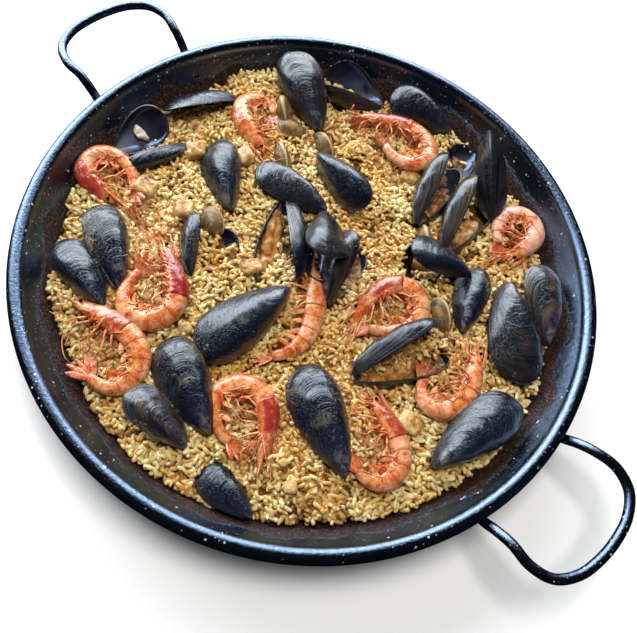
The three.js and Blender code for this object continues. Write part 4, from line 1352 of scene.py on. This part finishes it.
def make_lump(row, index, finish):
    """A chunk of squid or fish: a rounded block, folded and uneven."""
    name, place, half, yaw = row
    rows, sides = 22, 30
    ball = ball_rings(rows, sides, 0.06)
    block = np.sign(ball) * np.abs(ball) ** 0.5 * np.array(half) * LUMP_CORE
    flat = block.reshape(-1, 3)
    bumps = 0.5 * waves(flat, 9.0, 90 + index) + 0.2 * waves(flat, 3.6, 120 + index)
    grid = block + unit(ball) * bumps.reshape(rows, sides, 1)
    skin = Skin()
    skin.tube_grid(moved(grid, placement(place, yaw, 0, 0)))
    outward(skin).piece(f"{name}_piece", [finish], "squid", name)


def make_morsels(finish):
    """Small uneven cubes and balls of squid, lying on the rice."""
    draw = np.random.default_rng(SEED["morsels"])
    rows, sides = 12, 18
    ball = ball_rings(rows, sides, 0.1)
    skin = Skin()
    for x, y, half, roundness in MORSELS:
        z = heaped_level(np.array([x]), np.array([y]))[0] + 0.5 * half
        grid = np.sign(ball) * np.abs(ball) ** roundness * half * draw.uniform(0.75, 1.1, 3)
        flat = grid.reshape(-1, 3)
        grid = grid + ball * 0.3 * waves(flat + x, 5.0, 140).reshape(rows, sides, 1)
        turns = draw.uniform(-90, 90), draw.uniform(-25, 25), draw.uniform(-25, 25)
        skin.tube_grid(moved(grid, placement((x, y, z), *turns)))
    outward(skin).piece("squid_morsels", [finish], "squid", "rice")


# ---------------------------------------------------------------- rice
def rice_level(x, y):
    """Height of the heap's surface, as in the frame."""
    r = np.hypot(x, y) / RICE["edge_radius"]
    roll = np.sin(x / 23 + 0.7) * np.cos(y / 29 - 0.4) + 0.6 * np.sin(x / 13 - y / 17)
    return RICE["level"] - RICE["edge_drop"] * r ** 8 + RICE["swell"] * roll / 1.6


def small_heaps(x, y, across, seed):
    """Lumps and hollows of the surface a few grains across."""
    return waves(np.stack([x, y, 0 * x], -1).reshape(-1, 3), across, seed).reshape(np.shape(x))


def jittered_grid(draw, spacing):
    """Places over the pan on a triangular grid, each pushed off by less than half a step."""
    push = 0.42                   # both as shares of a step
    row_step = 0.8660254
    count = int(2 * RICE["edge_radius"] / spacing) + 2
    i, j = np.meshgrid(np.arange(-count, count), np.arange(-count, count))
    x = (i + 0.5 * (j % 2)) * spacing + draw.uniform(-push, push, i.shape) * spacing
    y = j * spacing * row_step + draw.uniform(-push, push, i.shape) * spacing
    x, y = x.ravel(), y.ravel()
    inside = np.hypot(x, y) < RICE["edge_radius"] + 8
    return x[inside], y[inside]


def clump_table():
    """Where the clumps stand, with their heights and a tree to find the nearest."""
    draw = np.random.default_rng(SEED["clumps"])
    x, y = jittered_grid(draw, CLUMP["across"])
    tree = KDTree(len(x))
    for number, (place_x, place_y) in enumerate(zip(x, y)):
        tree.insert((place_x, place_y, 0), number)
    tree.balance()
    return tree, draw.uniform(0.35, 1.0, len(x))


CLUMP_TREE, CLUMP_HEIGHTS = clump_table()


def clumps(x, y):
    """How high a place stands on its clump: 1 on top of the highest, 0 in the cracks."""
    high = []
    for place_x, place_y in zip(np.ravel(x), np.ravel(y)):
        number, away = CLUMP_TREE.find((place_x, place_y, 0))[1:]
        round_top = max(0.0, 1 - (away / (0.72 * CLUMP["across"])) ** 2)
        high.append(CLUMP_HEIGHTS[number] * round_top)
    return np.array(high).reshape(np.shape(x))


def heaped_level(x, y):
    """The level with its clumps, and with the rice drawn up where it was piled."""
    level = rice_level(x, y) + 1.1 * small_heaps(x, y, 26.0, 5)
    level = level + CLUMP["height"] * (clumps(x, y) - 0.5) + 0.5 * small_heaps(x, y, 7.5, 12)
    for place_x, place_y, reach, height in HEAPS:
        level = level + height * np.exp(-((x - place_x) ** 2 + (y - place_y) ** 2) / reach ** 2)
    return level


def rice_edge(angle):
    """Radius of the rice's edge, farther out where rice was piled against the wall."""
    edge = RICE["edge_radius"] + 1.6 * np.sin(5 * angle + 1) + 1.2 * np.sin(11 * angle)
    for place_x, place_y, reach, height in HEAPS:
        off = np.angle(np.exp(1j * (angle - math.atan2(place_y, place_x))))
        far = math.hypot(place_x, place_y) > 150
        edge = edge + far * 0.55 * height * np.exp(-(off * 170 / reach) ** 2)
    return edge


def browned(x, y):
    """How far a place belongs to the patches where the rice is broken and browned."""
    return small_heaps(x, y, 46.0, 8)


def paste_share(x, y):
    """How far the rice has gone to paste at a place, from 0 to 1."""
    share = np.clip((browned(x, y) - 0.1) / 1.0, 0, 1)
    return share * share * (3 - 2 * share)


def make_bed(finish):
    """The core under the loose grains, closed down to the pan's base."""
    rings, sides = 130, 400
    angle = 2 * np.pi * np.arange(sides) / sides
    share = np.linspace(0.01, 1, rings)[:, None]
    radius = (rice_edge(angle)[None] - 1.5) * share
    x, y = radius * np.cos(angle), radius * np.sin(angle)
    paste = paste_share(x, y)
    z = heaped_level(x, y) - RICE["bed_depth"] + RICE["paste_rise"] * paste
    flat = np.stack([x, y, z], -1)
    z = z + (0.5 + 0.4 * paste) * waves(flat.reshape(-1, 3), 5.0, 6).reshape(z.shape)
    top = np.stack([x, y, z], -1)
    foot_radius = RICE["foot_radius"]
    foot = np.stack([foot_radius * np.cos(angle), foot_radius * np.sin(angle),
                     0 * angle + RICE["floor"]], -1)
    waist = top[-1] * (0.995, 0.995, 0.8)
    grid = np.concatenate([top, waist[None], foot[None]])
    room = (inner_wall(grid[..., 2]) - 0.6) / np.hypot(grid[..., 0], grid[..., 1])
    grid[..., :2] *= np.minimum(room, 1)[..., None]
    skin = Skin("paste")
    skin.tube_grid(grid, paste=np.concatenate([paste, 0 * paste[:2]]))
    outward(skin).piece("rice_bed", [finish], "rice", "rice")


def covered(points, margin):
    """Which points lie inside a topping grown by a margin."""
    inside = np.zeros(len(points), bool)
    for name, form, hand, place, turns, length, width, gape in MUSSELS:
        valve = Valve("mussel", hand, length, width, 0)
        local = brought_back(points, placement(place, *turns))
        if form == "open":
            for way in (1, -1):
                back, foot = valve.opening(-way * gape / 2)
                own = (local - foot - (0, 0, way * SET_OFF)) @ back.T + foot
                inside |= in_valve(valve, own * (1, 1, way), margin, False)
        else:
            inside |= in_valve(valve, local, margin, form == "pair")
    for name, hand, place, turns, length, width in CLAMS:
        valve = Valve("clam", hand, length, width, 0)
        local = brought_back(points, placement(place, *turns))
        inside |= in_valve(valve, local, margin, True)
    for name, place, turns, length, height, curl, tightest in PRAWNS:
        local = brought_back(points, placement(place, *turns))
        spine = Spine(length, curl, tightest)
        shares = np.linspace(0.06, 0.97, 50)
        centre = spine.at(shares)[0]
        radius = height * body_height(shares) * BODY_WIDTH + margin
        close = np.linalg.norm(local[:, None] - centre[None], axis=2) < radius[None]
        inside |= close.any(1)
    for name, place, half, yaw in LUMPS:
        local = brought_back(points, placement(place, yaw, 0, 0))
        local = local / (np.array(half) * LUMP_CORE - 0.6)
        inside |= (np.abs(local) ** 4).sum(1) < 1
    return inside


def in_valve(valve, local, margin, both):
    """Which points of a valve's own frame lie inside it, or inside it or its twin below."""
    u = np.clip((local[:, 0] + margin) / (valve.length + 2 * margin), 1e-4, 1 - 1e-4)
    beyond = (local[:, 0] < -margin) | (local[:, 0] > valve.length + margin)
    y = local[:, 1] * valve.hand
    side = np.where(y > 0, *MARGINS)
    v = y / (valve.width * side * half_width(u, valve.kind) + margin)
    high = valve.depth * keel_depth(u) * arched(np.clip(v, -1, 1)) + margin
    z = np.abs(local[:, 2]) if both else local[:, 2]
    return ~beyond & (np.abs(v) < 1) & (z < high) & (z > -margin)


def grain_places(draw):
    """Places, turns and shades of all grains, in loose layers; the shade is painted shade, darkest
    in the lowest layer and in the cracks between clumps, lightest on the clumps' tops.
    """
    found = []
    for step, lift, rough, tip, shade in GRAIN_LAYERS:
        x, y = jittered_grid(draw, GRAIN["spacing"] * step)
        inside = np.hypot(x, y) < rice_edge(np.arctan2(y, x)) + 0.8
        x, y = x[inside], y[inside]
        z = heaped_level(x, y) + lift + draw.uniform(-rough, rough, len(x))
        on_clump = clumps(x, y)
        kept = (on_clump + draw.normal(0, 0.06, len(x)) > 0.14) | (lift < -1)
        # painted shade: each layer's shade, darker where a grain sits low on its clump, spread a
        # little at random
        shades = draw.normal(shade, 0.12, len(x)) + 0.4 * (on_clump - 0.4)
        x, y, z, shades = x[kept], y[kept], z[kept], np.clip(shades[kept], 0, 1)
        found.append(np.stack([x, y, z, draw.uniform(-180, 180, len(x)),
                               draw.normal(0, tip, len(x)), draw.uniform(-180, 180, len(x)),
                               shades], -1))
    return drawn_in(np.vstack(found), GRAIN["length"], GRAIN["width"])


def grain_mesh(name, bend):
    """One grain a unit long and a unit thick along X, plump, blunt and a little bent."""
    stations = ((-0.47, 0.56), (-0.34, 0.9), (0.0, 1.0), (0.34, 0.93), (0.47, 0.6))
    sides = 6
    points = []
    for x, radius in stations:
        for k in range(sides):
            angle = 2 * math.pi * k / sides
            points.append((x, 0.5 * radius * math.cos(angle) + bend * (0.25 - x * x),
                           0.46 * radius * math.sin(angle)))
    rows = len(stations)
    faces = []
    for i in range(rows - 1):
        for k in range(sides):
            m = (k + 1) % sides
            faces.append((i * sides + k, i * sides + m, (i + 1) * sides + m, (i + 1) * sides + k))
    first, last = len(points), len(points) + 1
    points += [(-0.5, bend * 0.02, 0), (0.5, -bend * 0.02, 0)]
    for k in range(sides):
        m = (k + 1) % sides
        faces.append((first, m, k))
        faces.append((last, (rows - 1) * sides + k, (rows - 1) * sides + m))
    mesh = bpy.data.meshes.new(name)
    mesh.from_pydata(points, [], [face[::-1] for face in faces])
    mesh.update()
    return bpy.data.objects.new(name, mesh)


def scatter_tree():
    """Geometry Nodes: a grain on every point, turned and sized by the point's values."""
    tree = bpy.data.node_groups.new("grains on points", "GeometryNodeTree")
    face = tree.interface
    face.new_socket("Geometry", in_out="INPUT", socket_type="NodeSocketGeometry")
    for name, kind in (("Grain", "Object"), ("Length", "Float"), ("Width", "Float"),
                       ("Seed", "Int"), ("Finish", "Material")):
        face.new_socket(name, in_out="INPUT", socket_type=f"NodeSocket{kind}")
    face.new_socket("Geometry", in_out="OUTPUT", socket_type="NodeSocketGeometry")

    def node(kind, inputs=None, **settings):
        return add_node(tree, kind, inputs, **settings)

    given = node("NodeGroupInput").outputs
    grain = node("GeometryNodeObjectInfo", {"Object": given["Grain"]})
    turn = node("GeometryNodeInputNamedAttribute", {"Name": "turn"}, data_type="FLOAT_VECTOR")
    vary = node("FunctionNodeRandomValue", {
        "Min": LENGTH_RANGE[0], "Max": LENGTH_RANGE[1], "Seed": given["Seed"]},
        data_type="FLOAT")
    long = node("ShaderNodeMath", {0: vary.outputs[1], 1: given["Length"]}, operation="MULTIPLY")
    next_seed = node("ShaderNodeMath", {0: given["Seed"], 1: 1.0}, operation="ADD")
    plump = node("FunctionNodeRandomValue", {
        "Min": WIDTH_RANGE[0], "Max": WIDTH_RANGE[1], "Seed": next_seed.outputs[0]},
        data_type="FLOAT")
    wide = node("ShaderNodeMath", {0: plump.outputs[1], 1: given["Width"]}, operation="MULTIPLY")
    size = node("ShaderNodeCombineXYZ", {"X": long.outputs[0], "Y": wide.outputs[0],
                                         "Z": wide.outputs[0]})
    placed = node("GeometryNodeInstanceOnPoints", {
        "Points": given["Geometry"], "Instance": grain.outputs["Geometry"],
        "Rotation": turn.outputs["Attribute"], "Scale": size.outputs["Vector"]})
    real = node("GeometryNodeRealizeInstances", {"Geometry": placed.outputs["Instances"]})
    smooth = node("GeometryNodeSetShadeSmooth", {"Geometry": real.outputs["Geometry"]})
    dressed = node("GeometryNodeSetMaterial", {"Geometry": smooth.outputs["Geometry"],
                                               "Material": given["Finish"]})
    out = node("NodeGroupOutput")
    tree.links.new(dressed.outputs["Geometry"], out.inputs["Geometry"])
    return tree


def scattered(name, tree, places, model, size, seed, finish):
    """Runs the scatter tree over places, turns and shades, and keeps what it makes as a plain
    mesh. size is the length and width of the model's unit, in millimetres."""
    settings = {"Grain": model, "Length": size["length"] * MM, "Width": size["width"] * MM,
                "Seed": seed, "Finish": finish}
    mesh = bpy.data.meshes.new(name)
    mesh.from_pydata(places[:, :3] * MM, [], [])
    layer = mesh.attributes.new("turn", "FLOAT_VECTOR", "POINT")
    layer.data.foreach_set("vector", np.radians(places[:, 3:6]).ravel())
    layer = mesh.attributes.new("shade", "FLOAT", "POINT")
    layer.data.foreach_set("value", places[:, 6].copy())
    carrier = bpy.data.objects.new(f"{name}_points", mesh)
    bpy.context.scene.collection.objects.link(carrier)
    modifier = carrier.modifiers.new("scatter", "NODES")
    modifier.node_group = tree
    sockets = {item.name: item.identifier for item in tree.interface.items_tree
               if item.in_out == "INPUT"}
    for label, value in settings.items():
        modifier[sockets[label]] = value
    bpy.context.view_layer.update()
    evaluated = carrier.evaluated_get(bpy.context.evaluated_depsgraph_get())
    result = bpy.data.meshes.new_from_object(evaluated)
    result.name = name
    carrier.modifiers.remove(modifier)
    bpy.data.objects.remove(carrier)
    bpy.data.objects.remove(model)
    settle(bpy.data.objects.new(name, result), "rice", "rice")


def make_grains(tree, finishes):
    """The grains, each of a random kind, with fewer where the rice is broken and browned."""
    draw = np.random.default_rng(SEED["grains"])
    places = grain_places(draw)
    places = places[~covered(places[:, :3], 0.5)]
    light = places[:, 6] > 0.4
    broken = browned(places[:, 0], places[:, 1]) + draw.normal(0, 0.3, len(places)) > BROKEN
    gone = 0.55                   # share of the light grains that broken places lack
    places = places[~(light & broken & (draw.uniform(0, 1, len(places)) < gone))]
    kind = draw.integers(0, len(finishes), len(places))
    for number, (name, finish) in enumerate(finishes.items()):
        model = grain_mesh(f"{name}_model", 0.1 + 0.12 * number)
        seed = SEED["grain_sizes"] + number
        scattered(name, tree, places[kind == number], model, GRAIN, seed, finish)


def make_crumbs(tree, finish):
    """Browned shreds of onion, garlic and squid, in patches on the rice."""
    draw = np.random.default_rng(SEED["crumbs"])
    tries = 14000                 # most fall where nothing is browned
    x, y = draw.uniform(-RICE["edge_radius"], RICE["edge_radius"], (2, tries))
    kept = (np.hypot(x, y) < rice_edge(np.arctan2(y, x)) - 1) & (
        browned(x, y) + draw.normal(0, 0.7, len(x)) > BROKEN)
    x, y = x[kept], y[kept]
    z = heaped_level(x, y) + draw.uniform(0.3, 2.6, len(x))
    places = np.stack([x, y, z, draw.uniform(-180, 180, len(x)), draw.normal(0, 25, len(x)),
                       draw.uniform(-180, 180, len(x)), draw.uniform(0, 1, len(x))], -1)
    places = drawn_in(places, CRUMB["length"], CRUMB["width"])
    places = places[~covered(places[:, :3], 0.5)]
    model = grain_mesh("crumb_model", 0.9)
    scattered("grains_crumbs", tree, places, model, CRUMB, SEED["crumb_sizes"], finish)


# ---------------------------------------------------------------- feelers and long legs
# Thin strands of each prawn that are tried, and left out where they would cross a shell:
# feelers and jaw legs before the head, walking legs, threads of the swimmers.
FRONT_STRANDS, LEG_STRANDS, SWIMMER_STRANDS = 18, 6, 18
RAY_START = 90                    # height that rays are cast down from, above everything


def surface_below(endings):
    """A tree of the pieces laid in the pan whose names have one of these endings."""
    points, faces, count = [], [], 0
    for piece in bpy.context.scene.objects:
        if piece.type == "MESH" and piece.name.endswith(endings):
            mesh = piece.data
            flat = np.empty(len(mesh.vertices) * 3)
            mesh.vertices.foreach_get("co", flat)
            points.append(flat.reshape(-1, 3))
            faces += [tuple(v + count for v in face.vertices) for face in mesh.polygons]
            count += len(mesh.vertices)
    return BVHTree.FromPolygons(np.vstack(points).tolist(), faces)


def laid(tree, route, radius, lift=0.0):
    """A route from above let down on what lies under it, in millimetres."""
    route = curve_through(np.asarray(route, float), 7)
    height = []
    for x, y in route:
        hit = tree.ray_cast(Vector((x, y, RAY_START)) * MM, Vector((0, 0, -1)))[0]
        height.append(hit.z / MM if hit else 0.0)
    level = heaped_level(route[:, 0], route[:, 1]) + 1.2
    height = np.maximum(height, level) + radius
    height = np.maximum(height, np.maximum(np.roll(height, 1), np.roll(height, -1)) - 1.2)
    smooth = np.convolve(np.pad(height, 2, "edge"), np.ones(5) / 5, "valid")
    return np.column_stack([route, np.maximum(smooth, height - 0.6) + lift])


def make_strands(finish):
    """Feelers, jaw legs, walking legs and threads that lie on what is round the prawns."""
    tree = surface_below(("_shell", "_body", "_piece", "_bed"))
    shells = surface_below(("_shell",))
    draw = np.random.default_rng(SEED["strands"])
    skin = Skin("along")

    def strand(route, radius, lift=0.0, over_shells=False):
        """Adds a strand, unless it would lie over a shell and isn't meant to."""
        path = laid(tree, route, radius, lift)
        for x, y in path[:, :2]:
            hit = shells.ray_cast(Vector((x, y, RAY_START)) * MM, Vector((0, 0, -1)))[0]
            if hit and not over_shells:
                return
        add_limb(skin, path, radius, 0)

    for route in FEELERS:
        strand(route, 0.65, over_shells=True)
    for name, place, turns, length, height, curl, tightest in PRAWNS:
        if name == HEAD_UNDER:
            continue
        spine = Spine(length, curl, tightest)
        placed = placement(place, *turns)
        bundle, sway = draw.uniform(4, 22), draw.uniform(-0.2, 0.35)
        for number in range(FRONT_STRANDS + LEG_STRANDS):
            front = number < FRONT_STRANDS
            share = draw.uniform(0.05, 0.2) if front else draw.uniform(0.18, 0.36)
            point, ahead, out = spine.at_one(share)
            inward = draw.normal(bundle, 5) if front else draw.uniform(20, 90)
            lean = math.radians(inward)
            way = -ahead * math.cos(lean) - out * math.sin(lean)
            bend = -out * draw.normal(sway, 0.1)
            reach = height * (draw.uniform(1.8, 4.6) if front else draw.uniform(1.4, 2.4))
            start = point - out * height * draw.uniform(0.2, 0.7) * body_height(share)
            route = [start + way * reach * t + bend * reach * 0.5 * t * t
                     for t in (0.0, 0.3, 0.65, 1.0)]
            route = moved(np.array(route), placed)[:, :2]
            inside = np.hypot(route[:, 0], route[:, 1]) < RICE["edge_radius"] - 3
            if inside.all():
                strand(route, draw.uniform(0.5, 0.9), 0.5 * (number % 3))
        for _ in range(SWIMMER_STRANDS):
            point, ahead, out = spine.at_one(draw.uniform(0.42, 0.86))
            lean = math.radians(draw.uniform(-50, 50))
            way = ahead * math.sin(lean) - out * math.cos(lean)
            reach = height * draw.uniform(1.1, 2.2)
            bend = ahead * draw.uniform(-0.5, 0.5) * reach
            route = [point + way * reach * t + bend * t * t for t in (0.2, 0.5, 0.75, 1.0)]
            route = moved(np.array(route), placed)[:, :2]
            strand(route, draw.uniform(0.35, 0.7))
    nodes = [row[0] for row in PRAWNS]
    outward(skin).piece("prawn_strands", [finish], "prawn_shell", *nodes)


# ---------------------------------------------------------------- the whole
make_camera()
make_light_and_floor()
enamel = enamel_finish()
make_pan(enamel)
make_handle("handle_right", 1, enamel)
make_handle("handle_left", -1, enamel)

mussel_finishes = [shell_finish(), nacre_finish(), meat_finish()]
for index, row in enumerate(MUSSELS):
    make_mussel(row, index + 1, mussel_finishes)
prawn_finishes = [prawn_finish(), limb_finish(), eye_finish()]
for index, row in enumerate(PRAWNS):
    make_prawn(row, index + 1, prawn_finishes)
clam_shell = clam_finish()
for index, row in enumerate(CLAMS):
    make_clam(row, index + 1, clam_shell)
squid = squid_finish()
for index, row in enumerate(LUMPS):
    make_lump(row, index + 1, squid)

make_bed(bed_finish())
make_morsels(squid)
grains_on_points = scatter_tree()
make_grains(grains_on_points, {f"grains_{kind}": rice_finish(f"{kind} rice", *colours)
                               for kind, colours in RICE_KINDS.items()})
make_crumbs(grains_on_points, rice_finish("browned bits", *BROWNED_BITS))
make_strands(prawn_finishes[1])
